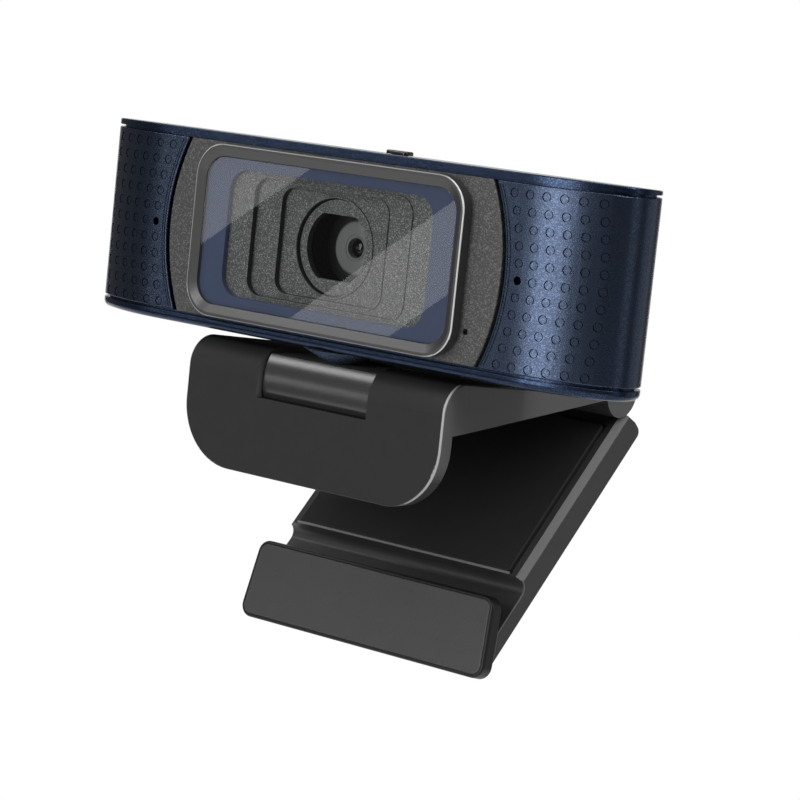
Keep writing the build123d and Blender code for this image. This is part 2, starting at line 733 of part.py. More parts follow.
def mic_gaskets():
    """Soft rings that seal the microphones to the wings."""
    ring = rod_y(MIC_X, 0, MIC_R, MIC_SEAT_Y, MIC_SEAT_Y + MIC_GASKET_T)
    ring -= rod_y(MIC_X, 0, MIC_HOLE_R, MIC_SEAT_Y, MIC_SEAT_Y + MIC_GASKET_T)
    return both_sides(ring)


def status_led():
    """Status light on the board's front."""
    return Pos(LED_X, 0, 0) * slab(Rectangle(LED_SIDE, LED_SIDE), BOARD_Y - LED_T, BOARD_Y, LED_Z)


def light_pipe():
    """Clear rod that carries the status light to its hole in the fascia."""
    tip = rod_y(LED_X, LED_Z, LED_HOLE_R - SLIP, FASCIA_FRONT + 2 * LED_HOLE_R, FASCIA_BACK)
    return tip + rod_y(LED_X, LED_Z, PIPE_R, FASCIA_BACK, BOARD_Y - LED_T)


def knob_seat_z():
    """Height of the lid's top where the knob runs."""
    return TOP_CAP_TOP - (KNOB_Y - FACE_Y) * math.tan(math.radians(TOP_CAP_FALL)) + KNOB_LIFT


def privacy_shutter():
    """Blade beside the lens, with an arm that reaches up through the lid."""
    blade_x = SHUTTER_TRAVEL
    back = SHUTTER_Y + SHUTTER_T
    blade_top = FRONT_Z + SHUTTER_H / 2
    shelf_top = WALL_TOP - SHELF_DROP
    shutter = block(
        (blade_x - SHUTTER_W / 2, blade_x + SHUTTER_W / 2),
        (SHUTTER_Y, back),
        (FRONT_Z - SHUTTER_H / 2, blade_top),
    )
    stem_x = (KNOB_X - STEM_W / 2, KNOB_X + STEM_W / 2)
    stem_y = (KNOB_Y - STEM_D / 2, KNOB_Y + STEM_D / 2)
    shutter += block(stem_x, (SHUTTER_Y, back), (blade_top - STEM_W, shelf_top))
    shutter += block(stem_x, (SHUTTER_Y, stem_y[1]), (shelf_top - SHELF_T, shelf_top))
    return shutter + block(stem_x, stem_y, (shelf_top - SHELF_T, knob_seat_z() + STEM_ENTRY))


def privacy_knob():
    """Rounded knob on top of the shutter's arm."""
    low = knob_seat_z()
    knob = block(
        (KNOB_X - KNOB_W / 2, KNOB_X + KNOB_W / 2),
        (KNOB_Y - KNOB_D / 2, KNOB_Y + KNOB_D / 2),
        (low, low + KNOB_H),
    )
    knob = fillet(knob.edges().filter_by(Axis.Z), KNOB_D / 3)
    knob = fillet(knob.faces().sort_by(Axis.Z)[-1].edges(), KNOB_ROUND)
    socket = block(
        (KNOB_X - STEM_W / 2 - SLIP, KNOB_X + STEM_W / 2 + SLIP),
        (KNOB_Y - STEM_D / 2 - SLIP, KNOB_Y + STEM_D / 2 + SLIP),
        (low, low + STEM_ENTRY),
    )
    return knob - socket


def housing_screws():
    """Screws that hold the rear shell to the front shell."""
    screws = []
    for x, z, seat in case_screw_places():
        shank = rod_y(x, z, CASE_SCREW_R, BOSS_SPLIT_Y - CASE_SCREW_LENGTH / 2 + RUN_GAP, seat)
        screws.append(shank + rod_y(x, z, CASE_SCREW_HEAD_R, seat, seat + CASE_SCREW_HEAD_T))
    return screws


def cable_gland():
    """Soft gland in the rear shell where the cable would leave."""
    inner = BACK_CENTRE[1] + BACK_R - WALL_T
    gland = rod_y(0, GLAND_Z, GLAND_R - SLIP, inner - GLAND_FLANGE_T, BACK_Y + GLAND_OUT)
    gland += rod_y(0, GLAND_Z, GLAND_FLANGE_R, inner - GLAND_FLANGE_T - SLIP, inner - SLIP)
    gland = fillet(gland.faces().sort_by(Axis.Y)[-1].edges(), (GLAND_R - GLAND_BORE_R) / 3)
    return gland - rod_y(0, GLAND_Z, GLAND_BORE_R, inner - CLEAR, BACK_Y + CLEAR)


# Mount
DRUM_HALF = NOTCH_HALF - RUN_GAP
TILT_PLANE = Plane(origin=(0, TILT_Y, TILT_Z), x_dir=(0, 1, 0), z_dir=(1, 0, 0))
DRUM_TOP_Z = TILT_Z + DRUM_TOP
SHAFT_TOP_Z = HEAD_Z + WALL_BOTTOM + SLIP


def drum_section():
    """Section of the drum: curved front skirt, flat-topped body and hub."""
    keep = Pos((DRUM_BACK - DRUM_R) / 2, 0) * Rectangle(DRUM_R + DRUM_BACK, 2 * DRUM_R)
    body_h = DRUM_TOP - DRUM_BODY_LOW
    body = Circle(DRUM_R) & keep & (Pos(0, DRUM_BODY_LOW + body_h / 2) * Rectangle(2 * DRUM_R, body_h))
    skirt_h = DRUM_BODY_LOW - DRUM_SKIRT_LOW
    skirt = Circle(DRUM_R) - Circle(DRUM_R - DRUM_SKIRT_T)
    skirt &= Pos(-DRUM_R / 2, DRUM_SKIRT_LOW + skirt_h / 2) * Rectangle(DRUM_R, skirt_h + 2 * SLIP)
    web = Pos(0, DRUM_BODY_LOW / 2) * Rectangle(2 * DRUM_HUB_R, DRUM_BODY_LOW + 2 * SLIP)
    return body + skirt + web + Circle(DRUM_HUB_R)


def tilt_drum():
    """Drum that tilts in the clip's notch and carries the neck."""
    drum = across(drum_section(), DRUM_HALF, TILT_PLANE)

    def end_arc(point):
        """Whether a point is on the rim of one of the drum's ends."""
        reach = math.hypot(point.Y - TILT_Y, point.Z - TILT_Z)
        return near(abs(point.X), DRUM_HALF) and near(reach, DRUM_R)

    drum = fillet(edges_where(drum, end_arc), DRUM_EDGE_R)
    drum -= rod_z(0, PAN_Y, NECK_PEG_R + SEAT_FIT, DRUM_TOP_Z - NECK_PEG_DEPTH, DRUM_TOP_Z)
    bore = rod_x(TILT_Y, TILT_Z, TILT_PIN_R + SLIP, DRUM_HALF - TILT_PIN_IN_DRUM - RUN_GAP, DRUM_HALF)
    return drum - both_sides(bore)


def tilt_pins():
    """Stub pins, fixed in the clip, on which the drum turns."""
    pin = rod_x(TILT_Y, TILT_Z, TILT_PIN_R, DRUM_HALF - TILT_PIN_IN_DRUM, NOTCH_HALF + TILT_PIN_IN_CLIP)
    return both_sides(pin)


def swivel_neck():
    """Blue flared collar on the drum, with the shaft that the head pans on."""
    collar_top = HEAD_LOW_Z - NECK_GAP
    low = (Align.CENTER, Align.CENTER, Align.MIN)
    neck = Pos(0, PAN_Y, DRUM_TOP_Z) * Cone(NECK_LOW_R, NECK_TOP_R, collar_top - DRUM_TOP_Z, align=low)
    neck += rod_z(0, PAN_Y, NECK_PEG_R, DRUM_TOP_Z - NECK_PEG_DEPTH, DRUM_TOP_Z)
    neck += rod_z(0, PAN_Y, NECK_SHAFT_R, DRUM_TOP_Z, SHAFT_TOP_Z)
    return neck - rod_z(0, PAN_Y, PAN_SCREW_R + SEAT_FIT, SHAFT_TOP_Z - PAN_SCREW_LENGTH, SHAFT_TOP_Z)


def pan_washer():
    """Washer that keeps the head on its shaft."""
    top = SHAFT_TOP_Z + PAN_WASHER_T
    washer = rod_z(0, PAN_Y, PAN_WASHER_R, SHAFT_TOP_Z, top)
    return washer - rod_z(0, PAN_Y, PAN_SCREW_R + SLIP, SHAFT_TOP_Z, top)


def pan_screw():
    """Screw through the washer into the neck."""
    seat = SHAFT_TOP_Z + PAN_WASHER_T
    shank = rod_z(0, PAN_Y, PAN_SCREW_R, SHAFT_TOP_Z - PAN_SCREW_LENGTH + SLIP, seat)
    return shank + rod_z(0, PAN_Y, PAN_SCREW_HEAD_R, seat, seat + PAN_SCREW_HEAD_T)


HINGE_PLANE = Plane(origin=(0, HINGE_Y, HINGE_Z), x_dir=(0, 1, 0), z_dir=(1, 0, 0))
LOBE_FROM = KNUCKLE_HALF + RUN_GAP


def underside(y):
    """Height of the arm's underside."""
    return y * math.tan(math.radians(ARM_SLOPE))


def clip_section():
    """Side view of the clip without its hinge lobes."""
    front = -PANEL_T
    round_y = front + CLIP_ROUND_R
    turn = math.sqrt(0.5) * CLIP_ROUND_R
    return make_face([
        Line((front, -PANEL_DROP), (front, ARM_TOP - CLIP_ROUND_R)),
        ThreePointArc(
            (front, ARM_TOP - CLIP_ROUND_R), (round_y - turn, ARM_TOP - CLIP_ROUND_R + turn), (round_y, ARM_TOP)
        ),
        Polyline(
            (round_y, ARM_TOP),
            (ARM_FALL_END_Y, ARM_TOP_REAR),
            (ARM_RISE_Y, ARM_TOP_REAR),
            (HINGE_Y - LOBE_R / 2, HINGE_Z + LOBE_R * math.sqrt(0.75)),
            (HINGE_Y, HINGE_Z),
            (HINGE_Y - LOBE_R / 2, underside(HINGE_Y - LOBE_R / 2)),
            (0, 0),
            (0, -PANEL_DROP),
            (front, -PANEL_DROP),
        ),
    ])


def drum_pocket():
    """Room in the clip for the drum and its whole travel."""
    room = Circle(DRUM_R + RUN_GAP) & (Pos(0, DRUM_R) * Rectangle(4 * DRUM_R, 2 * DRUM_R))
    room &= Pos((DRUM_BACK - DRUM_R) / 2 + RUN_GAP, 0) * Rectangle(DRUM_R + DRUM_BACK + 4 * RUN_GAP, 4 * DRUM_R)
    hub = Circle(DRUM_HUB_R + RUN_GAP)
    skirt_turn = math.degrees(math.asin(-DRUM_SKIRT_LOW / DRUM_R)) + TILT_FORWARD
    slot_low = -(DRUM_R + RUN_GAP) * math.sin(math.radians(skirt_turn)) - RUN_GAP
    slot = Circle(DRUM_R + RUN_GAP) - Circle(DRUM_R - DRUM_SKIRT_T - RUN_GAP)
    slot &= Pos(-DRUM_R, slot_low / 2) * Rectangle(2 * DRUM_R, -slot_low + 2 * SLIP)
    return across(room + hub + slot, NOTCH_HALF, TILT_PLANE)


def clip_body():
    """Front panel and arm in one bent plate, with rounded lower corners, a slight taper and soft edges."""
    body = across(clip_section(), CLIP_HALF)
    low = -PANEL_DROP
    high = HINGE_Z + 2 * LOBE_R
    face = make_face([
        Line((-CLIP_HALF, high), (-CLIP_HALF, low + PANEL_CORNER_R)),
        RadiusArc((-CLIP_HALF, low + PANEL_CORNER_R), (-CLIP_HALF + PANEL_CORNER_R, low), -PANEL_CORNER_R),
        Line((-CLIP_HALF + PANEL_CORNER_R, low), (CLIP_HALF - PANEL_CORNER_R, low)),
        RadiusArc((CLIP_HALF - PANEL_CORNER_R, low), (CLIP_HALF, low + PANEL_CORNER_R), -PANEL_CORNER_R),
        Line((CLIP_HALF, low + PANEL_CORNER_R), (CLIP_HALF, high)),
        Line((CLIP_HALF, high), (-CLIP_HALF, high)),
    ])
    body &= slab(face, -CLEAR, 2 * CLEAR)
    rear = HINGE_Y + LOBE_R
    plan = make_face(Polyline(
        (-CLIP_HALF, -CLEAR), (CLIP_HALF, -CLEAR), (CLIP_HALF, PANEL_T), (CLIP_REAR_HALF, HINGE_Y - LOBE_R),
        (CLIP_REAR_HALF, rear), (-CLIP_REAR_HALF, rear), (-CLIP_REAR_HALF, HINGE_Y - LOBE_R),
        (-CLIP_HALF, PANEL_T), (-CLIP_HALF, -CLEAR),
    ))
    body &= extrude(Pos(0, 0, -CLEAR) * plan, amount=2 * CLEAR)
    bend = ARM_TOP - CLIP_ROUND_R

    def outer(point):
        """Whether a point is on the outer outline of the panel or on the arm's upper side edge."""
        on_front = near(point.Y, -PANEL_T) and not near(point.Z, bend)
        on_side = abs(point.X) > CLIP_REAR_HALF and point.Y < ARM_RISE_Y
        return on_front or (on_side and point.Z > bend and point.Z > ARM_TOP_REAR - TINY)

    body = fillet(edges_where(body, outer), CLIP_EDGE_R)
    return fillet(edges_where(body, lambda point: near(point.Y, 0) and point.Z < -TINY), CLIP_INNER_EDGE_R)


def upper_clip():
    """Clip body with its rear hinge lobes, the notch for the drum and the pins' bores."""
    clip = clip_body()
    clip -= rod_x(HINGE_Y, HINGE_Z, LOBE_R + RUN_GAP, -LOBE_FROM, LOBE_FROM)
    clip += both_sides(rod_x(HINGE_Y, HINGE_Z, LOBE_R, LOBE_FROM, CLIP_REAR_HALF))
    clip -= rod_x(HINGE_Y, HINGE_Z, HINGE_PIN_R + SEAT_FIT, -HINGE_PIN_HALF, HINGE_PIN_HALF)
    clip -= drum_pocket()
    clip -= block((-NOTCH_HALF, NOTCH_HALF), (-CLEAR, NOTCH_IN - PANEL_T), (NOTCH_Z, CLEAR))
    over_drum = (TILT_Y - DRUM_R, TILT_Y + DRUM_BACK)
    clip -= block((-NOTCH_HALF, NOTCH_HALF), over_drum, (TILT_Z + DRUM_TOP / 2, CLEAR))
    clip -= both_sides(rod_x(TILT_Y, TILT_Z, TILT_PIN_R + SEAT_FIT, NOTCH_HALF, NOTCH_HALF + TILT_PIN_IN_CLIP))
    sunk = GRIP_T - GRIP_PROUD
    return clip - slab(RectangleRounded(GRIP_W, GRIP_H, GRIP_R), -sunk, GRIP_PROUD, GRIP_Z)


def grip_pad():
    """Rubber pad on the back of the front panel."""
    face = RectangleRounded(GRIP_W - 2 * SLIP, GRIP_H - 2 * SLIP, GRIP_R - SLIP)
    return slab(face, GRIP_PROUD - GRIP_T, GRIP_PROUD, GRIP_Z)


def hinge_pin():
    """Pin of the rear hinge, fixed in the clip's lobes."""
    return rod_x(HINGE_Y, HINGE_Z, HINGE_PIN_R, -HINGE_PIN_HALF, HINGE_PIN_HALF)


# Flap: u runs from the rear hinge along the flap to its front, n square to it, away from the arm
FLAP_TURN = math.radians(FLAP_ANGLE)
FLAP_U = Vector(0, -math.cos(FLAP_TURN), -math.sin(FLAP_TURN))
FLAP_N = Vector(0, math.sin(FLAP_TURN), -math.cos(FLAP_TURN))
HINGE = Vector(0, HINGE_Y, HINGE_Z)
FLAP_PLANE = Plane(origin=HINGE, x_dir=FLAP_U, z_dir=(1, 0, 0))
FOOT_PIN = HINGE + FLAP_U * FOOT_PIN_U + FLAP_N * FOOT_PIN_N
SLOT_HALF = LUG_W / 2 + RUN_GAP
PAD_FRONT = FLAP_FULL_LENGTH - PAD_LIP


def flap_section():
    """Side view of the flap, with the valley that the foot folds into."""
    low = VALLEY_N
    return make_face(Polyline(
        (FLAP_REAR, FLAP_TOP), (FLAP_FULL_LENGTH, FLAP_TOP), (FLAP_FULL_LENGTH, low),
        (TONGUE_TOP_END, low), (TONGUE_BOTTOM_END, FLAP_BOTTOM), (FLAP_REAR_FOOT, FLAP_BOTTOM),
        (FLAP_REAR_FOOT, FLAP_REAR_FOOT_N), (FLAP_REAR, FLAP_TOP),
    ))


def flap_face(half, start, end):
    """Rectangle in the flap's own plane, seen square to its pad."""
    return Pos((start + end) / 2, 0) * Rectangle(end - start, 2 * half)


def flap_layer(outline, near, far):
    """Prism square to the flap between two depths below the rear hinge."""
    plane = Plane(origin=HINGE + FLAP_N * near, x_dir=FLAP_U, z_dir=FLAP_N)
    return extrude(plane * outline, amount=far - near)


def pad_lip():
    """Bar across the flap's front edge that the pad ends against."""
    face = flap_face(PAD_HALF + PAD_GROOVE, PAD_FRONT, FLAP_FULL_LENGTH)
    lip = flap_layer(face, FLAP_TOP - PAD_PROUD, FLAP_TOP + PAD_SUNK)
    top = lip.faces().sort_by(Axis((0, 0, 0), FLAP_N))[0]
    return fillet(top.edges().sort_by(Axis((0, 0, 0), FLAP_U))[-1], PAD_LIP_R)


def flap():
    """Lower arm with a hinge knuckle at the back and a slotted tongue at the front."""
    section = flap_section()
    valley = section.vertices().sort_by_distance((FLAP_FULL_LENGTH, VALLEY_N))[0]
    section = fillet(valley, VALLEY_R)
    heel = section.vertices().sort_by_distance((FLAP_REAR_FOOT, FLAP_BOTTOM))[0]
    section = fillet(heel, FLAP_REAR_ROUND)
    body = across(section, FLAP_HALF, FLAP_PLANE)
    top = body.faces().filter_by(Plane(origin=HINGE, z_dir=FLAP_N)).sort_by(Axis((0, 0, 0), FLAP_N))[0]
    sides = top.edges().filter_by(Axis((0, 0, 0), FLAP_U))
    body = chamfer(sides, FLAP_CHAMFER)
    low = FLAP_TOP + FLAP_CHAMFER

    def side_edge(point):
        """Whether a point is on a side outline of the flap, below its chamfer."""
        depth = (point - HINGE).dot(FLAP_N)
        return near(abs(point.X), FLAP_HALF) and depth > low + TINY

    body = fillet(edges_where(body, side_edge), FLAP_EDGE_R)
    web = make_face(Polyline(
        (-KNUCKLE_R, 0), (KNUCKLE_R, 0), (FLAP_REAR + KNUCKLE_R / 2, FLAP_TOP), (FLAP_REAR, FLAP_REAR_FOOT_N),
        (FLAP_REAR_FOOT, FLAP_REAR_FOOT_N), (-KNUCKLE_R, 0),
    ))
    body += across(web + Circle(KNUCKLE_R), KNUCKLE_HALF, FLAP_PLANE)
    body -= both_sides(rod_x(HINGE_Y, HINGE_Z, LOBE_R + RUN_GAP, KNUCKLE_HALF, FLAP_HALF + SLIP))
    body -= rod_x(HINGE_Y, HINGE_Z, HINGE_PIN_R + SLIP, -KNUCKLE_HALF, KNUCKLE_HALF)
    recess = flap_face(PAD_HALF + PAD_GROOVE, PAD_REAR - PAD_GROOVE, PAD_FRONT)
    body -= flap_layer(recess, FLAP_TOP - PAD_PROUD, FLAP_TOP + PAD_SUNK)
    body += pad_lip()
    slot = Pos((FOOT_PIN_U + TONGUE_BOTTOM_END) / 2, 0) * Rectangle(
        TONGUE_BOTTOM_END - FOOT_PIN_U + 2 * (LUG_R + RUN_GAP), 2 * SLOT_HALF
    )
    for side in (-1, 1):
        body -= flap_layer(Pos(0, side * LUG_X) * slot, VALLEY_N - FLAP_BOTTOM, FLAP_BOTTOM)
    return body - rod_x(FOOT_PIN.Y, FOOT_PIN.Z, FOOT_PIN_R + SEAT_FIT, -FOOT_PIN_HALF, FOOT_PIN_HALF)


def flap_pad():
    """Dark pad let into the top of the flap."""
    face = flap_face(PAD_HALF, PAD_REAR, PAD_FRONT - SLIP)
    pad = flap_layer(face, FLAP_TOP - PAD_PROUD, FLAP_TOP + PAD_SUNK)
    top = pad.faces().sort_by(Axis((0, 0, 0), FLAP_N))[0]
    return fillet(top.edges(), PAD_EDGE_R)


def foot_pin():
    """Pin of the foot's hinge, fixed in the flap's tongue."""
    return rod_x(FOOT_PIN.Y, FOOT_PIN.Z, FOOT_PIN_R, -FOOT_PIN_HALF, FOOT_PIN_HALF)


FOOT_TURN = math.radians(FOOT_LEAN)
FOOT_OUT = Vector(0, -math.cos(FOOT_TURN), math.sin(FOOT_TURN))


def foot_plane(out):
    """Plane of the foot at a distance in front of its pin."""
    return Plane(origin=FOOT_PIN + FOOT_OUT * out, x_dir=(1, 0, 0), z_dir=FOOT_OUT)


def foot_outline(inset):
    """Outline of the foot, a little wider at the bottom, moved inward by an inset."""
    corners = make_face(Polyline(
        (-FOOT_BOTTOM_HALF + inset, -FOOT_DOWN + inset), (FOOT_BOTTOM_HALF - inset, -FOOT_DOWN + inset),
        (FOOT_TOP_HALF - inset, FOOT_UP - inset), (-FOOT_TOP_HALF + inset, FOOT_UP - inset),
        (-FOOT_BOTTOM_HALF + inset, -FOOT_DOWN + inset),
    ))
    return fillet(corners.vertices(), FOOT_CORNER_R - inset)


def foot_plate():
    """Plate that bears on the back of the monitor, with two lugs on the foot's pin."""
    front = FOOT_BACK + FOOT_T
    plate = extrude(foot_plane(FOOT_BACK) * foot_outline(0), amount=FOOT_T)
    faces = plate.faces().sort_by(Axis((0, 0, 0), FOOT_OUT))
    plate = fillet(faces[-1].edges() + faces[0].edges(), FOOT_EDGE_R)
    plate -= extrude(foot_plane(front - FOOT_PAD_SUNK) * foot_outline(FOOT_RIM), amount=FOOT_PAD_SUNK)
    lug = Rectangle(LUG_W, 2 * LUG_R)
    for side in (-1, 1):
        plate += extrude(foot_plane(0) * Pos(side * LUG_X, 0) * lug, amount=FOOT_BACK)
        centre = side * LUG_X
        plate += rod_x(FOOT_PIN.Y, FOOT_PIN.Z, LUG_R, centre - LUG_W / 2, centre + LUG_W / 2)
    return plate - rod_x(FOOT_PIN.Y, FOOT_PIN.Z, FOOT_PIN_R + SLIP, -FOOT_PIN_HALF, FOOT_PIN_HALF)


def foot_pad():
    """Satin pad let into the foot's front."""
    start = FOOT_BACK + FOOT_T - FOOT_PAD_SUNK
    pad = extrude(foot_plane(start) * foot_outline(FOOT_RIM + SLIP), amount=FOOT_PAD_SUNK + FOOT_PAD_PROUD)
    front = pad.faces().sort_by(Axis((0, 0, 0), FOOT_OUT))[-1]
    return fillet(front.edges(), FOOT_PAD_PROUD)


HEAD_PIECES = (
    top_cap, bottom_cap, front_shell, rear_shell, fascia, window_frame, cover_glass, trim_ring, lens_plate,
    lens_ring, lens_hood, lens_barrel, lens_front, focus_motor, image_sensor, camera_board, board_screws,
    video_chip, cable_header, microphones, mic_gaskets, status_led, light_pipe, privacy_shutter, privacy_knob,
    housing_screws, cable_gland,
)
MOUNT_PIECES = (
    tilt_drum, tilt_pins, swivel_neck, pan_washer, pan_screw, upper_clip, grip_pad, hinge_pin, flap, flap_pad,
    foot_pin, foot_plate, foot_pad,
)


def solids_of(made):
    """All solids of a piece or of a group of pieces."""
    if isinstance(made, list):
        return [solid for piece in made for solid in piece.solids()]
    return list(made.solids())


SEAT = Pos(0, -SEAT_Y, -underside(SEAT_Y))

os.makedirs("parts", exist_ok=True)
for place, makers in ((SEAT * HEAD, HEAD_PIECES), (SEAT, MOUNT_PIECES)):
    for maker in makers:
        solids = [place * solid for solid in solids_of(maker())]
        node = solids[0] if len(solids) == 1 else Compound(children=solids)
        export_step(node, f"parts/{maker.__name__}.step")
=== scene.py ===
"""Looks of a webcam on a folding monitor clip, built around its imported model.

Lengths are in metres, in the model's own frame: X to the right, Y to the back and Z up.
"""

import json
import logging
import math
from dataclasses import dataclass
from enum import Enum
from typing import Iterable, Optional, Sequence

import bmesh
import bpy
from mathutils import Matrix, Vector


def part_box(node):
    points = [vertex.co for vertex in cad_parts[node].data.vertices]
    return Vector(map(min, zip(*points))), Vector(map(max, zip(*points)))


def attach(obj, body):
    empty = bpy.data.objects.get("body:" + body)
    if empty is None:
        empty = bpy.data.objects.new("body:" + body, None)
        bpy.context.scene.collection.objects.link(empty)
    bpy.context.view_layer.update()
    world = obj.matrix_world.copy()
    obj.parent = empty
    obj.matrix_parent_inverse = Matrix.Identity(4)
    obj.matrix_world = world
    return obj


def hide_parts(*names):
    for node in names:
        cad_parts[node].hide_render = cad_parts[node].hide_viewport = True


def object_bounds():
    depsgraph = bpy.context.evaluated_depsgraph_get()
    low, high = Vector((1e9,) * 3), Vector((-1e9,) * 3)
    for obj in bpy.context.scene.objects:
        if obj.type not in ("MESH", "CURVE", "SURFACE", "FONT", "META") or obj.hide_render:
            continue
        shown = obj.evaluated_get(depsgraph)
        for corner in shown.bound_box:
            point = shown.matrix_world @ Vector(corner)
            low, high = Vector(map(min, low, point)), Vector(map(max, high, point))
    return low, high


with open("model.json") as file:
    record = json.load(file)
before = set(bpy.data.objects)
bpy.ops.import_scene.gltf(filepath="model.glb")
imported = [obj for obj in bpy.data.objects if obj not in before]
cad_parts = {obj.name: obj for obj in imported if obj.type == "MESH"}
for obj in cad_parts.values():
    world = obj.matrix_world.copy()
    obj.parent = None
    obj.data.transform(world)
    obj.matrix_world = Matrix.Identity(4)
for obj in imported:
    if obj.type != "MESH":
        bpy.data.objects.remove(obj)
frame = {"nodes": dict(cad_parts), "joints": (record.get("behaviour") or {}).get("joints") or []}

CAD_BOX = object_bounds()
LOG = logging.getLogger("webcam")
MM = 0.001
SHARP_ANGLE = 35.0
TOOTH_POINTS = 4
FLAP_LEAN = 46.8
RIGHT = Vector((1.0, 0.0, 0.0))
FRONT = Vector((0.0, -1.0, 0.0))
UP = Vector((0.0, 0.0, 1.0))

Colour = tuple[float, float, float]
Point = tuple[float, float]
Ramp = tuple[float, float]
Socket = bpy.types.NodeSocket


class Body(Enum):
    """Bodies that the finer pieces ride on."""

    CLIP = "clip"
    HEAD = "head"
    LENS = "lens"
    FLAP = "flap"
    FOOT = "foot"


def joint_place(name: str) -> Vector:
    """Point on a joint's axis."""
    return next(Vector(joint["pos_m"]) for joint in frame["joints"] if joint["name"] == name)


def middle_of(node: str) -> Vector:
    """Middle of a node's box."""
    low, high = (Vector(corner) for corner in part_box(node))
    return (low + high) / 2


def depth_of(node: str) -> tuple[float, float]:
    """Foremost and rearmost place of a node along Y."""
    low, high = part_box(node)
    return low[1], high[1]


def shade(colour: Colour, factor: float) -> Colour:
    """Colour made darker or lighter by a factor."""
    return tuple(part * factor for part in colour)


def add_object(name: str, data: bpy.types.ID) -> bpy.types.Object:
    """Puts a new object into the scene.

    Args:
        name: Name of the object.
        data: Mesh, lamp or camera that it shows.

    Returns:
        The object.
    """
    piece = bpy.data.objects.new(name, data)
    bpy.context.scene.collection.objects.link(piece)
    return piece


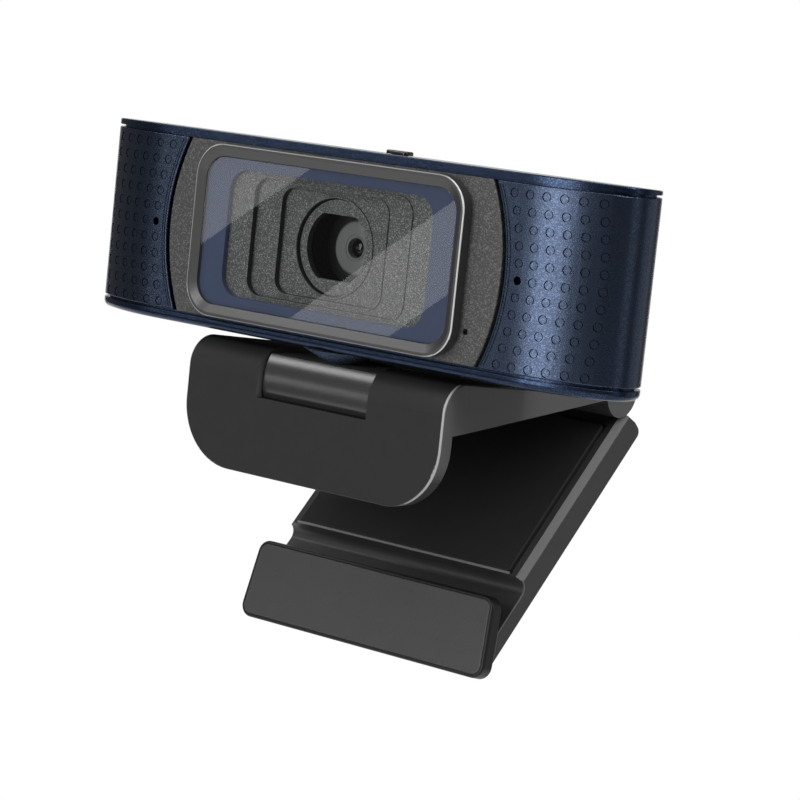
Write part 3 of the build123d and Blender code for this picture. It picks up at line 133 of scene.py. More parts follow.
class Shader:
    """Node tree of one material, with short ways to add nodes and join them."""

    # Numbers of the colour sockets on Blender's mix node.
    MIX_COLOURS = (6, 7)
    MIX_RESULT = 2
    # Parts of the normal over which a rounded edge with a painted highlight begins, ends and comes
    # to face the front.
    EDGE_BEGINS: Ramp = (0.2, 0.45)
    EDGE_ENDS: Ramp = (0.85, 0.97)
    EDGE_FRONT: Ramp = (0.15, 0.4)
    # The same for a front rim with a painted highlight that leans out from a middle, and the
    # highlight's least share above and below.
    RIM_OUT: Ramp = (3.0 * MM, 6.0 * MM)
    RIM_FRONT: Ramp = (0.3, 0.5)
    RIM_SIDE: Ramp = (0.1, 0.4)
    RIM_LEAST = 0.3
    # Distance over which a lip's painted highlight fades in.
    LIP_HIGHLIGHT_BLUR = 0.04 * MM
    # Range that holds most of a noise.
    NOISE_BODY: Ramp = (0.3, 0.7)

    def __init__(self, name: str) -> None:
        """Starts a material with its standard surface.

        Args:
            name: Name of the material.
        """
        self.material = bpy.data.materials.new(name)
        self.material.use_nodes = True
        self.tree = self.material.node_tree
        self.surface = self.tree.nodes["Principled BSDF"]
        self.output = self.tree.nodes["Material Output"]
        frame_of_piece = self.add("ShaderNodeTexCoord")
        self.place = frame_of_piece.outputs["Object"]
        self.facing = frame_of_piece.outputs["Normal"]

    def add(self, kind: str, **settings: object) -> bpy.types.Node:
        """Adds a node and sets its properties.

        Args:
            kind: Blender's name of the node type.
            settings: Properties of the node.

        Returns:
            The new node.
        """
        node = self.tree.nodes.new(kind)
        for key, value in settings.items():
            setattr(node, key, value)
        return node

    def join(self, source: Socket, target: Socket) -> None:
        """Links an output to an input."""
        self.tree.links.new(source, target)

    def fill(self, node: bpy.types.Node, values: dict[str | int, object]) -> bpy.types.Node:
        """Sets a node's inputs, each to a value or to another node's output.

        Args:
            node: Node to fill.
            values: Input names or numbers, with a plain value or an output socket each.

        Returns:
            The same node.
        """
        for key, value in values.items():
            if isinstance(value, bpy.types.NodeSocket):
                self.join(value, node.inputs[key])
            else:
                node.inputs[key].default_value = value
        return node

    def grain(self, size: float, detail: float = 2.0, stretch: Optional[Vector] = None) -> Socket:
        """Soft random noise.

        Args:
            size: Size of its features in metres.
            detail: Number of finer layers.
            stretch: Scale of the place on each axis, or None for an even grain.

        Returns:
            The noise's value, about 0.5.
        """
        place = self.place
        if stretch is not None:
            mapping = self.fill(self.add("ShaderNodeMapping"), {"Scale": stretch, "Vector": place})
            place = mapping.outputs["Vector"]
        noise = self.add("ShaderNodeTexNoise")
        self.fill(noise, {"Vector": place, "Scale": 1.0 / size, "Detail": detail})
        return noise.outputs["Fac"]

    def flecks(self, size: float) -> Socket:
        """Random value of each cell in a crowd of tiny cells.

        Args:
            size: Size of a cell in metres.

        Returns:
            The cell's value, from 0 to 1.
        """
        cells = self.add("ShaderNodeTexVoronoi")
        self.fill(cells, {"Vector": self.place, "Scale": 1.0 / size})
        parts = self.fill(self.add("ShaderNodeSeparateColor"), {"Color": cells.outputs["Color"]})
        return parts.outputs["Red"]

    def span(
        self, value: Socket, low: float, high: float, to_low: float, to_high: float,
    ) -> Socket:
        """Maps a value from one range to another, held at its ends.

        Args:
            value: Value to map.
            low: Start of the range it comes from.
            high: End of the range it comes from.
            to_low: Start of the range it goes to.
            to_high: End of the range it goes to.

        Returns:
            The mapped value.
        """
        node = self.add("ShaderNodeMapRange")
        self.fill(node, {
            "Value": value, "From Min": low, "From Max": high, "To Min": to_low, "To Max": to_high,
        })
        return node.outputs["Result"]

    def rise(self, value: Socket, ramp: Ramp) -> Socket:
        """Share that goes from 0 to 1 while a value goes along a ramp."""
        return self.span(value, *ramp, 0.0, 1.0)

    def fall(self, value: Socket, ramp: Ramp) -> Socket:
        """Share that goes from 1 to 0 while a value goes along a ramp."""
        return self.span(value, *ramp, 1.0, 0.0)

    def uneven(self, noise: Socket, low: float, high: float) -> Socket:
        """Value that a noise moves between a low and a high one."""
        return self.span(noise, *self.NOISE_BODY, low, high)

    def lean(self, axis: str) -> Socket:
        """Size of the surface's normal along one axis of the piece.

        Args:
            axis: X, Y or Z.

        Returns:
            The size, from 0 to 1.
        """
        parts = self.fill(self.add("ShaderNodeSeparateXYZ"), {"Vector": self.facing})
        size = self.add("ShaderNodeMath", operation="ABSOLUTE")
        self.join(parts.outputs[axis], size.inputs[0])
        return size.outputs[0]

    def combine(self, operation: str, first: Socket, second: Socket) -> Socket:
        """Works on two values.

        Args:
            operation: Blender's name of the operation.
            first: First value.
            second: Second value.

        Returns:
            The result.
        """
        node = self.add("ShaderNodeMath", operation=operation)
        self.fill(node, {0: first, 1: second})
        return node.outputs[0]

    def times(self, first: Socket, second: Socket) -> Socket:
        """Product of two values."""
        return self.combine("MULTIPLY", first, second)

    def most(self, first: Socket, second: Socket) -> Socket:
        """Larger of two values."""
        return self.combine("MAXIMUM", first, second)

    def edge_highlight_mask(self) -> Socket:
        """Finds the rounded edges between the piece's front and its sides, where a highlight is
        painted.

        Returns:
            The share of such an edge, from 0 to 1.
        """
        sideways = self.lean("X")
        begins = self.rise(sideways, self.EDGE_BEGINS)
        ends = self.fall(sideways, self.EDGE_ENDS)
        forward = self.rise(self.lean("Y"), self.EDGE_FRONT)
        return self.times(self.times(begins, ends), forward)

    def rim_highlight_mask(self, middle: Vector) -> Socket:
        """Finds a front rim that leans away from a middle, for a painted highlight that is weaker
        above and below than at the sides.

        Args:
            middle: Middle of the piece.

        Returns:
            The share of such a rim, from 0 to 1.
        """
        away = self.add("ShaderNodeVectorMath", operation="SUBTRACT")
        self.fill(away, {0: self.place, 1: middle})
        level = self.add("ShaderNodeVectorMath", operation="MULTIPLY")
        self.fill(level, {0: away.outputs["Vector"], 1: RIGHT + UP})
        reach = self.add("ShaderNodeVectorMath", operation="DOT_PRODUCT")
        self.fill(reach, {0: level.outputs["Vector"], 1: self.facing})
        out = self.rise(reach.outputs["Value"], self.RIM_OUT)
        front = self.rise(self.lean("Y"), self.RIM_FRONT)
        side = self.span(self.lean("X"), *self.RIM_SIDE, self.RIM_LEAST, 1.0)
        return self.times(self.times(out, front), side)

    def beyond(self, way: Vector, start: float) -> Socket:
        """Finds what lies further along a direction than a given distance.

        Args:
            way: Direction.
            start: Distance along it in metres.

        Returns:
            The share of what lies beyond, from 0 to 1.
        """
        reach = self.add("ShaderNodeVectorMath", operation="DOT_PRODUCT")
        self.fill(reach, {0: self.place, 1: way})
        return self.rise(reach.outputs["Value"], (start, start + self.LIP_HIGHLIGHT_BLUR))

    def blend(self, share: Socket, first: Colour | Socket, second: Colour | Socket) -> Socket:
        """Mixes two colours.

        Args:
            share: Share of the second colour.
            first: Colour, or a socket that gives one.
            second: Colour, or a socket that gives one.

        Returns:
            The mixed colour.
        """
        node = self.add("ShaderNodeMix", data_type="RGBA")
        self.join(share, node.inputs["Factor"])
        for number, colour in zip(self.MIX_COLOURS, (first, second)):
            plain = not isinstance(colour, bpy.types.NodeSocket)
            self.fill(node, {number: (*colour, 1.0) if plain else colour})
        return node.outputs[self.MIX_RESULT]

    def mottled(
        self, colour: Colour, low: float, high: float, size: float, detail: float,
    ) -> Socket:
        """Colour that wanders between two shades of itself.

        Args:
            colour: Colour to vary.
            low: Factor of its darkest shade.
            high: Factor of its lightest shade.
            size: Size of the patches in metres.
            detail: Number of finer layers.

        Returns:
            The varied colour.
        """
        return self.blend(self.grain(size, detail), shade(colour, low), shade(colour, high))

    def relief(self, height: Socket, depth: float) -> Socket:
        """Bump from a height.

        Args:
            height: Height from 0 to 1.
            depth: Depth in metres that a height of 1 stands for.

        Returns:
            The bumped normal.
        """
        node = self.add("ShaderNodeBump")
        self.fill(node, {"Height": height, "Distance": depth})
        return node.outputs["Normal"]

    def mix_surfaces(self, share: Socket, first: Socket, second: Socket) -> None:
        """Gives the material a mix of two surfaces.

        Args:
            share: Share of the second surface.
            first: Output of the first surface's shader.
            second: Output of the second surface's shader.
        """
        mix = self.add("ShaderNodeMixShader")
        self.fill(mix, {0: share, 1: first, 2: second})
        self.join(mix.outputs[0], self.output.inputs["Surface"])


@dataclass(frozen=True)
class FleckPaint:
    """Satin paint or plastic filled with bright metal flecks, with painted shade on its side walls
    if so set.
    """

    name: str
    base: Colour
    fleck: Colour
    fleck_size: float
    fleck_from: float
    roughness: float
    metallic: float
    specular: float = 0.5
    coat: float = 0.0
    coat_roughness: float = 0.3
    # Colour of the painted shade on walls turned away from the front, or None.
    flank: Optional[Colour] = None
    flank_ramp: Ramp = (0.6, 0.92)
    fleck_gloss: float = 0.7
    grain_depth: float = 0.012 * MM
    grain_size: float = 0.28 * MM
    mottle: float = 0.12
    mottle_size: float = 2.4 * MM
    mottle_detail: float = 3.0

    def material(self) -> bpy.types.Material:
        """Builds the paint's node material.

        Returns:
            The material.
        """
        shader = Shader(self.name)
        ground = shader.mottled(
            self.base, 1 - self.mottle, 1 + self.mottle, self.mottle_size, self.mottle_detail)
        sparkle = shader.rise(shader.flecks(self.fleck_size), (self.fleck_from, 1.0))
        colour = shader.blend(sparkle, ground, self.fleck)
        # Painted shade: walls turned away from the front take the flank colour.
        if self.flank is not None:
            painted_shade_wall = shader.fall(shader.lean("Y"), self.flank_ramp)
            colour = shader.blend(painted_shade_wall, colour, self.flank)
        rough = shader.span(sparkle, 0.0, 1.0, self.roughness, self.roughness * self.fleck_gloss)
        shader.fill(shader.surface, {
            "Base Color": colour, "Roughness": rough, "Metallic": self.metallic,
            "Normal": shader.relief(shader.grain(self.grain_size), self.grain_depth),
            "Specular IOR Level": self.specular,
            "Coat Weight": self.coat, "Coat Roughness": self.coat_roughness,
        })
        return shader.material


@dataclass(frozen=True)
class PaintedLipHighlight:
    """Lip of a piece with a painted highlight: what lies beyond two planes, and the highlight's
    colour.
    """

    first_way: Vector
    first_start: float
    second_way: Vector
    second_start: float
    colour: Colour


@dataclass(frozen=True)
class MouldedPlastic:
    """Fine-textured plastic with, if so set, painted highlights on edges and a lip, painted light
    on flanks, and a rough top with painted shade.
    """

    name: str
    base: Colour
    roughness: float
    specular: float
    grain_size: float = 0.22 * MM
    grain_detail: float = 3.0
    grain_depth: float = 0.006 * MM
    swing: float = 0.1
    mottle: float = 0.1
    mottle_size: float = 3.0 * MM
    mottle_detail: float = 4.0
    coat: float = 0.0
    coat_roughness: float = 0.12
    # Colour of the painted highlight on rounded edges, or None.
    edge: Optional[Colour] = None
    # Colour of painted light on faces turned to the sides, or None.
    flank: Optional[Colour] = None
    flank_ramp: Ramp = (0.85, 0.97)
    # Painted highlight on a lip, or None.
    lip: Optional[PaintedLipHighlight] = None
    # Whether the top is rougher and carries painted shade, the lean over which that sets in, and
    # the share of the base colour that the painted shade leaves.
    rough_shaded_top: bool = False
    top_ramp: Ramp = (0.9, 0.98)
    painted_top_shade: float = 0.2

    def colour(self, shader: Shader) -> Socket:
        """Colour of the plastic with its painted highlights and side light, apart from the top's
        painted shade.

        Args:
            shader: Node tree of its material.

        Returns:
            The colour.
        """
        colour = shader.mottled(
            self.base, 1 - self.mottle, 1 + self.mottle, self.mottle_size, self.mottle_detail)
        # Painted highlight on the rounded edges.
        if self.edge is not None:
            colour = shader.blend(shader.edge_highlight_mask(), colour, self.edge)
        # Painted light on faces turned to the sides.
        if self.flank is not None:
            side = shader.rise(shader.lean("X"), self.flank_ramp)
            colour = shader.blend(side, colour, self.flank)
        # Painted highlight on the lip.
        if self.lip is not None:
            first = shader.beyond(self.lip.first_way, self.lip.first_start)
            second = shader.beyond(self.lip.second_way, self.lip.second_start)
            colour = shader.blend(shader.times(first, second), colour, self.lip.colour)
        return colour

    def material(self) -> bpy.types.Material:
        """Builds the plastic's node material.

        Returns:
            The material.
        """
        shader = Shader(self.name)
        fine = shader.grain(self.grain_size, self.grain_detail)
        colour = self.colour(shader)
        rough = shader.uneven(
            fine, self.roughness * (1 - self.swing), self.roughness * (1 + self.swing))
        # Rougher top, with painted shade blended into its colour.
        if self.rough_shaded_top:
            top = shader.rise(shader.lean("Z"), self.top_ramp)
            rough = shader.most(rough, top)
            colour = shader.blend(top, colour, shade(self.base, self.painted_top_shade))
        shader.fill(shader.surface, {
            "Base Color": colour, "Roughness": rough,
            "Normal": shader.relief(fine, self.grain_depth), "Specular IOR Level": self.specular,
            "Coat Weight": self.coat, "Coat Roughness": self.coat_roughness,
        })
        return shader.material


@dataclass(frozen=True)
class RimHighlightMoulding:
    """Satin moulding with a painted highlight on its front rim."""

    name: str
    base: Colour
    # Colour of the painted highlight on the front rim.
    rim: Colour
    node: str
    roughness: float = 0.36
    specular: float = 0.8
    coat: float = 0.1
    coat_roughness: float = 0.12
    grain_size: float = 0.2 * MM
    grain_detail: float = 3.0
    grain_depth: float = 0.004 * MM
    swing: float = 0.1
    dark: float = 0.85
    mottle_size: float = 3.0 * MM
    mottle_detail: float = 4.0

    def material(self) -> bpy.types.Material:
        """Builds the moulding's node material.

        Returns:
            The material.
        """
        shader = Shader(self.name)
        fine = shader.grain(self.grain_size, self.grain_detail)
        ground = shader.mottled(self.base, self.dark, 1.0, self.mottle_size, self.mottle_detail)
        # Painted highlight on the front rim, weaker above and below.
        rim = shader.rim_highlight_mask(middle_of(self.node))
        rough = shader.uneven(
            fine, self.roughness * (1 - self.swing), self.roughness * (1 + self.swing))
        shader.fill(shader.surface, {
            "Base Color": shader.blend(rim, ground, self.rim), "Roughness": rough,
            "Normal": shader.relief(fine, self.grain_depth), "Specular IOR Level": self.specular,
            "Coat Weight": self.coat, "Coat Roughness": self.coat_roughness,
        })
        return shader.material


@dataclass(frozen=True)
class TurnedMetal:
    """Bare metal with fine tool marks that run round an axis."""

    name: str
    base: Colour
    roughness: float
    metallic: float = 1.0
    mark_size: float = 0.12 * MM
    mark_depth: float = 0.004 * MM
    stretch: tuple[float, float, float] = (1.0, 0.1, 1.0)
    dark: float = 0.8
    smooth: float = 0.8
    coarse: float = 1.25

    def material(self) -> bpy.types.Material:
        """Builds the metal's node material.

        Returns:
            The material.
        """
        shader = Shader(self.name)
        marks = shader.grain(self.mark_size, stretch=Vector(self.stretch))
        rough = shader.uneven(marks, self.roughness * self.smooth, self.roughness * self.coarse)
        shader.fill(shader.surface, {
            "Base Color": shader.blend(marks, shade(self.base, self.dark), self.base),
            "Roughness": rough, "Normal": shader.relief(marks, self.mark_depth),
            "Metallic": self.metallic,
        })
        return shader.material


@dataclass(frozen=True)
class ClearPane:
    """Clear glass that mirrors the studio and shows what lies behind it."""

    name: str
    tint: Colour
    ior: float = 1.5
    roughness: float = 0.006
    smear: float = 2.0
    smear_size: float = 6.0 * MM
    smear_detail: float = 3.0
    smear_ramp: Ramp = (0.4, 0.7)

    def material(self) -> bpy.types.Material:
        """Builds the glass's node material, which mirrors only on faces seen from outside.

        Returns:
            The material.
        """
        shader = Shader(self.name)
        clear = shader.fill(
            shader.add("ShaderNodeBsdfTransparent"), {"Color": (*self.tint, 1.0)})
        rough = shader.span(
            shader.grain(self.smear_size, self.smear_detail), *self.smear_ramp,
            self.roughness, self.roughness * self.smear)
        mirror = shader.fill(shader.add("ShaderNodeBsdfGlossy"), {"Roughness": rough})
        fresnel = shader.fill(shader.add("ShaderNodeFresnel"), {"IOR": self.ior})
        inside = shader.add("ShaderNodeNewGeometry").outputs["Backfacing"]
        share = shader.times(fresnel.outputs["Fac"], shader.fall(inside, (0.0, 1.0)))
        shader.mix_surfaces(share, clear.outputs[0], mirror.outputs[0])
        shader.tree.nodes.remove(shader.surface)
        return shader.material


@dataclass(frozen=True)
class CoatedLens:
    """Dark lens glass with a coloured coating."""

    name: str
    base: Colour = (0.002, 0.002, 0.003)
    light: float = 1.6
    roughness: float = 0.03
    specular: float = 0.3
    film_nm: float = 100.0
    film_ior: float = 1.38
    mottle_size: float = 0.9 * MM
    mottle_detail: float = 1.0

    def material(self) -> bpy.types.Material:
        """Builds the lens's node material.

        Returns:
            The material.
        """
        shader = Shader(self.name)
        shader.fill(shader.surface, {
            "Base Color": shader.mottled(
                self.base, 1.0, self.light, self.mottle_size, self.mottle_detail),
            "Roughness": self.roughness, "Specular IOR Level": self.specular,
            "Thin Film Thickness": self.film_nm, "Thin Film IOR": self.film_ior,
        })
        return shader.material


@dataclass(frozen=True)
class CircuitBoard:
    """Green board with copper tracks under its lacquer."""

    name: str
    lacquer: Colour = (0.008, 0.06, 0.02)
    track: Colour = (0.02, 0.12, 0.045)
    track_width: float = 0.12
    track_height: float = 0.01 * MM
    pitch: float = 1.2 * MM
    roughness: float = 0.3
    coat: float = 0.6

    def material(self) -> bpy.types.Material:
        """Builds the board's node material.

        Returns:
            The material.
        """
        shader = Shader(self.name)
        lacquer = (*self.lacquer, 1.0)
        rows = shader.fill(shader.add("ShaderNodeTexBrick"), {
            "Vector": shader.place, "Scale": 1.0 / self.pitch, "Mortar Size": self.track_width,
            "Color1": lacquer, "Color2": lacquer, "Mortar": (*self.track, 1.0),
        })
        shader.fill(shader.surface, {
            "Base Color": rows.outputs["Color"], "Roughness": self.roughness,
            "Normal": shader.relief(rows.outputs["Fac"], self.track_height),
            "Coat Weight": self.coat,
        })
        return shader.material


def flap_ways() -> tuple[Vector, Vector]:
    """Direction along the flap away from its hinge, and the direction out of its face.

    Returns:
        The two directions.
    """
    cos, sin = math.cos(math.radians(FLAP_LEAN)), math.sin(math.radians(FLAP_LEAN))
    return Vector((0.0, -cos, -sin)), Vector((0.0, -sin, cos))


def flap_lip_highlight(start: float, face: float, colour: Colour) -> PaintedLipHighlight:
    """Painted highlight on the front lip of the flap, placed from its hinge.

    Args:
        start: Distance along the flap at which the lip starts.
        face: Height of the lip's lowest point over the hinge's axis.
        colour: Colour of the painted highlight.

    Returns:
        The lip.
    """
    hinge = joint_place("flap_hinge")
    along, out = flap_ways()
    return PaintedLipHighlight(along, along.dot(hinge) + start, out, out.dot(hinge) + face, colour)


class Finish(Enum):
    """Finishes of the webcam's pieces."""

    NAVY_SHELL = FleckPaint(
        "navy_shell", (0.030, 0.044, 0.078), (0.058, 0.083, 0.138), 0.14 * MM, 0.55, 0.3, 0.95,
        coat=0.25)
    NAVY_CAP = FleckPaint(
        "navy_cap", (0.018, 0.029, 0.058), (0.045, 0.068, 0.12), 0.14 * MM, 0.6, 0.27, 0.9)
    GREY_FASCIA = FleckPaint(
        "grey_fascia", (0.052, 0.051, 0.050), (0.16, 0.16, 0.16), 0.16 * MM, 0.6, 0.5, 0.2)
    # Painted shade on the step walls of the lens plate.
    PLATE_GREY = FleckPaint(
        "plate_grey", (0.066, 0.065, 0.064), (0.30, 0.30, 0.30), 0.13 * MM, 0.66, 0.5, 0.2,
        flank=(0.004, 0.004, 0.004))
    BLUE_TRIM = MouldedPlastic("blue_trim", (0.045, 0.060, 0.120), 0.4, 0.3)
    # Painted highlight on the window frame's front rim.
    WINDOW_GLOSS = RimHighlightMoulding(
        "window_gloss", (0.028, 0.028, 0.027), (0.7, 0.7, 0.69), "window_frame")
    CLEAR_GLASS = ClearPane("clear_glass", (0.97, 0.98, 0.98))
    BLACK_PLASTIC = MouldedPlastic("black_plastic", (0.010, 0.010, 0.010), 0.4, 0.3)
    # Near-zero black with no specular: painted shade deep in the lens recess.
    HOOD_SHADE_BLACK = MouldedPlastic("hood_shade_black", (0.001, 0.001, 0.001), 0.8, 0.0)
    KNOB_BLACK = MouldedPlastic("knob_black", (0.008, 0.008, 0.008), 0.18, 0.5, coat=0.5)
    # Painted highlight on its edges, painted light on its sides and painted shade on its top.
    CLIP_GREY = MouldedPlastic(
        "clip_grey", (0.027, 0.027, 0.027), 0.55, 0.15, edge=(0.5, 0.5, 0.5),
        flank=(0.12, 0.12, 0.12), rough_shaded_top=True)
    # Painted highlights on its edges and on its front lip.
    FLAP_GREY = MouldedPlastic(
        "flap_grey", (0.042, 0.042, 0.042), 0.42, 0.4, edge=(0.12, 0.12, 0.12),
        lip=flap_lip_highlight(35.3 * MM, -3.3 * MM, (0.2, 0.2, 0.2)))
    # Painted shade on the drum's top.
    DRUM_GREY = MouldedPlastic(
        "drum_grey", (0.030, 0.030, 0.030), 0.24, 1.0, grain_depth=0.001 * MM, rough_shaded_top=True)
    # Navy paint made several times lighter: painted light on the neck, which sits in the head's
    # shade.
    NECK_BLUE_LIT = FleckPaint(
        "neck_blue_lit", (0.16, 0.22, 0.34), (0.22, 0.28, 0.42), 0.18 * MM, 0.7, 0.3, 0.6)
    PAD_BLACK = MouldedPlastic("pad_black", (0.028, 0.028, 0.028), 0.5, 0.15)
    # Near-white painted highlight for the flap pad's rounded upper edge.
    PAD_EDGE_HIGHLIGHT = MouldedPlastic("pad_edge_highlight", (0.75, 0.75, 0.75), 0.35, 0.4)
    FOOT_SATIN = MouldedPlastic("foot_satin", (0.056, 0.056, 0.056), 0.3, 0.5)
    SOFT_RUBBER = MouldedPlastic("soft_rubber", (0.012, 0.012, 0.012), 0.6, 0.25)
    CLEAR_PLASTIC = MouldedPlastic("clear_plastic", (0.25, 0.25, 0.25), 0.3, 0.5)
    CHIP_BLACK = MouldedPlastic("chip_black", (0.012, 0.012, 0.013), 0.5, 0.4)
    LENS_METAL = TurnedMetal("lens_metal", (0.20, 0.20, 0.20), 0.5, 0.2)
    STEEL = TurnedMetal("steel", (0.55, 0.55, 0.56), 0.28)
    LENS_GLASS = CoatedLens("lens_glass")
    BOARD_GREEN = CircuitBoard("board_green")


@dataclass(frozen=True)
class Seat:
    """Place that a piece is built on: its middle and three directions at right angles."""

    middle: Vector
    across: Vector
    up: Vector
    out: Vector

    def at(self, across: float, up: float, out: float) -> Vector:
        """Point at distances along the three directions."""
        return self.middle + self.across * across + self.up * up + self.out * out


def facing_front(x: float, z: float) -> Seat:
    """Seat on the front-to-back axis through a point, with out to the front."""
    return Seat(Vector((x, 0.0, z)), RIGHT, UP, FRONT)


def facing_back(x: float, z: float) -> Seat:
    """Seat on the front-to-back axis through a point, with out to the back."""
    return Seat(Vector((x, 0.0, z)), -RIGHT, UP, -FRONT)


@dataclass
class Shell:
    """Closed skin of rings of points, with the strips that have a finish of their own."""

    rings: list[list[Vector]]
    closed: bool = False
    trimmed: tuple[int, ...] = ()

    def add_to(self, work: bmesh.types.BMesh) -> None:
        """Adds the skin's faces to a mesh, its ends capped unless its last ring meets its first.

        Args:
            work: Mesh to add to.
        """
        rows = [[work.verts.new(point) for point in ring] for ring in self.rings]
        pairs = zip(rows, rows[1:] + rows[:1] if self.closed else rows[1:])
        for number, (low, high) in enumerate(pairs):
            for k in range(len(low)):
                face = work.faces.new((low[k - 1], low[k], high[k], high[k - 1]))
                face.material_index = int(number in self.trimmed)
        if not self.closed:
            work.faces.new(rows[0])
            work.faces.new(rows[-1])


def turned(
    seat: Seat, profile: Iterable[Sequence[float]], count: int, closed: bool = False,
) -> Shell:
    """Skin of a turned piece.

    Args:
        seat: Its axis is the seat's out direction.
        profile: Radius and distance along the axis of each ring, and the depth of its fine teeth
            if it has any.
        count: Points on each ring, TOOTH_POINTS for a tooth.
        closed: Whether the profile is a loop.

    Returns:
        The skin.
    """
    rings = []
    for radius, along, *tooth in profile:
        ring = []
        for k in range(count):
            angle = 2 * math.pi * k / count
            low = k % TOOTH_POINTS >= TOOTH_POINTS / 2
            reach = radius - (sum(tooth) if low else 0.0)
            ring.append(seat.at(reach * math.cos(angle), reach * math.sin(angle), along))
        rings.append(ring)
    return Shell(rings, closed)


def rectangle(left: float, right: float, bottom: float, top: float) -> tuple[Point, ...]:
    """Corners of a rectangle, from its lower left one round to its upper left one."""
    return (left, bottom), (right, bottom), (right, top), (left, top)


@dataclass(frozen=True)
class Slab:
    """Slab with rounded corners and a rounded or ground upper edge.

    Its upper face has one ring close to the edge, which keeps the face flat in its shading, and one
    far in. They are measured in widths of the edge and in corner radii.
    """

    seat: Seat
    corners: tuple[Point, ...]
    corner_radius: float
    low: float
    high: float
    edge: float
    near_ring: float = 1.4
    far_ring: float = 0.95
    corner_steps: int = 10
    edge_steps: int = 5

    def ring(self, inset: float, out: float) -> list[Vector]:
        """Outline drawn in by an inset.

        Args:
            inset: Distance that it is drawn in.
            out: Height on the seat.

        Returns:
            The outline's points.
        """
        points = []
        count = len(self.corners)
        reach = self.corner_radius - inset
        for k in range(count):
            before, here, after = (Vector(self.corners[(k + j) % count]) for j in (-1, 0, 1))
            come, leave = (here - before).normalized(), (after - here).normalized()
            turn = come.angle_signed(leave)
            middle = here + (leave - come).normalized() * self.corner_radius / math.cos(turn / 2)
            start = math.atan2(-come.x, come.y)
            for step in range(self.corner_steps + 1):
                angle = start - turn * step / self.corner_steps + math.pi
                across = middle.x - reach * math.cos(angle)
                up = middle.y - reach * math.sin(angle)
                points.append(self.seat.at(across, up, out))
        return points

    def shell(self) -> Shell:
        """Skin of the slab, with its upper edge as the trimmed strips.

        Returns:
            The skin.
        """
        rings = [self.ring(0.0, self.low)]
        for step in range(self.edge_steps + 1):
            turn = step / self.edge_steps * math.pi / 2
            inset, drop = self.edge * (1 - math.cos(turn)), self.edge * (1 - math.sin(turn))
            rings.append(self.ring(inset, self.high - drop))
        rings.append(self.ring(self.edge * self.near_ring, self.high))
        rings.append(self.ring(self.corner_radius * self.far_ring, self.high))
        return Shell(rings, trimmed=tuple(range(1, self.edge_steps + 1)))


class Workshop:
    """Makes each finish once, builds pieces and dresses them."""

    def __init__(self) -> None:
        """Starts with no material made."""
        self.made: dict[Finish, bpy.types.Material] = {}

    def material(self, finish: Finish) -> bpy.types.Material:
        """Material of a finish, made when it is first asked for.

        Args:
            finish: The finish.

        Returns:
            Its material.
        """
        if finish not in self.made:
            self.made[finish] = finish.value.material()
        return self.made[finish]

    def dress(self, piece: bpy.types.Object, *finishes: Finish) -> None:
        """Gives a piece its finish, and one more for its trimmed strips.

        Args:
            piece: Piece to dress.
            finishes: Finish of the piece, then that of its trimmed strips if it has any.
        """
        piece.data.materials.clear()
        for finish in finishes:
            piece.data.materials.append(self.material(finish))
        LOG.info("%s dressed in %s", piece.name, finishes[0].value.name)

    def dress_nodes(self, finish: Finish, *names: str) -> None:
        """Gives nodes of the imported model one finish."""
        for name in names:
            self.dress(frame["nodes"][name], finish)

    def build(
        self, node: str, body: Body, shells: Iterable[Shell], *finishes: Finish,
    ) -> bpy.types.Object:
        """Builds a finer piece in place of a node.

        Args:
            node: Node that the piece stands for.
            body: Body that it rides on.
            shells: Skins that it is made of.
            finishes: Finish of the piece, then that of its trimmed strips if it has any.

        Returns:
            The piece.
        """
        mesh = bpy.data.meshes.new(node)
        work = bmesh.new()
        for shell in shells:
            shell.add_to(work)
        bmesh.ops.recalc_face_normals(work, faces=work.faces)
        work.to_mesh(mesh)
        work.free()
        mesh.shade_smooth()
        mesh.set_sharp_from_angle(angle=math.radians(SHARP_ANGLE))
        piece = add_object(f"{node}_fine", mesh)
        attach(piece, body.value)
        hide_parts(node)
        self.dress(piece, *finishes)
        return piece


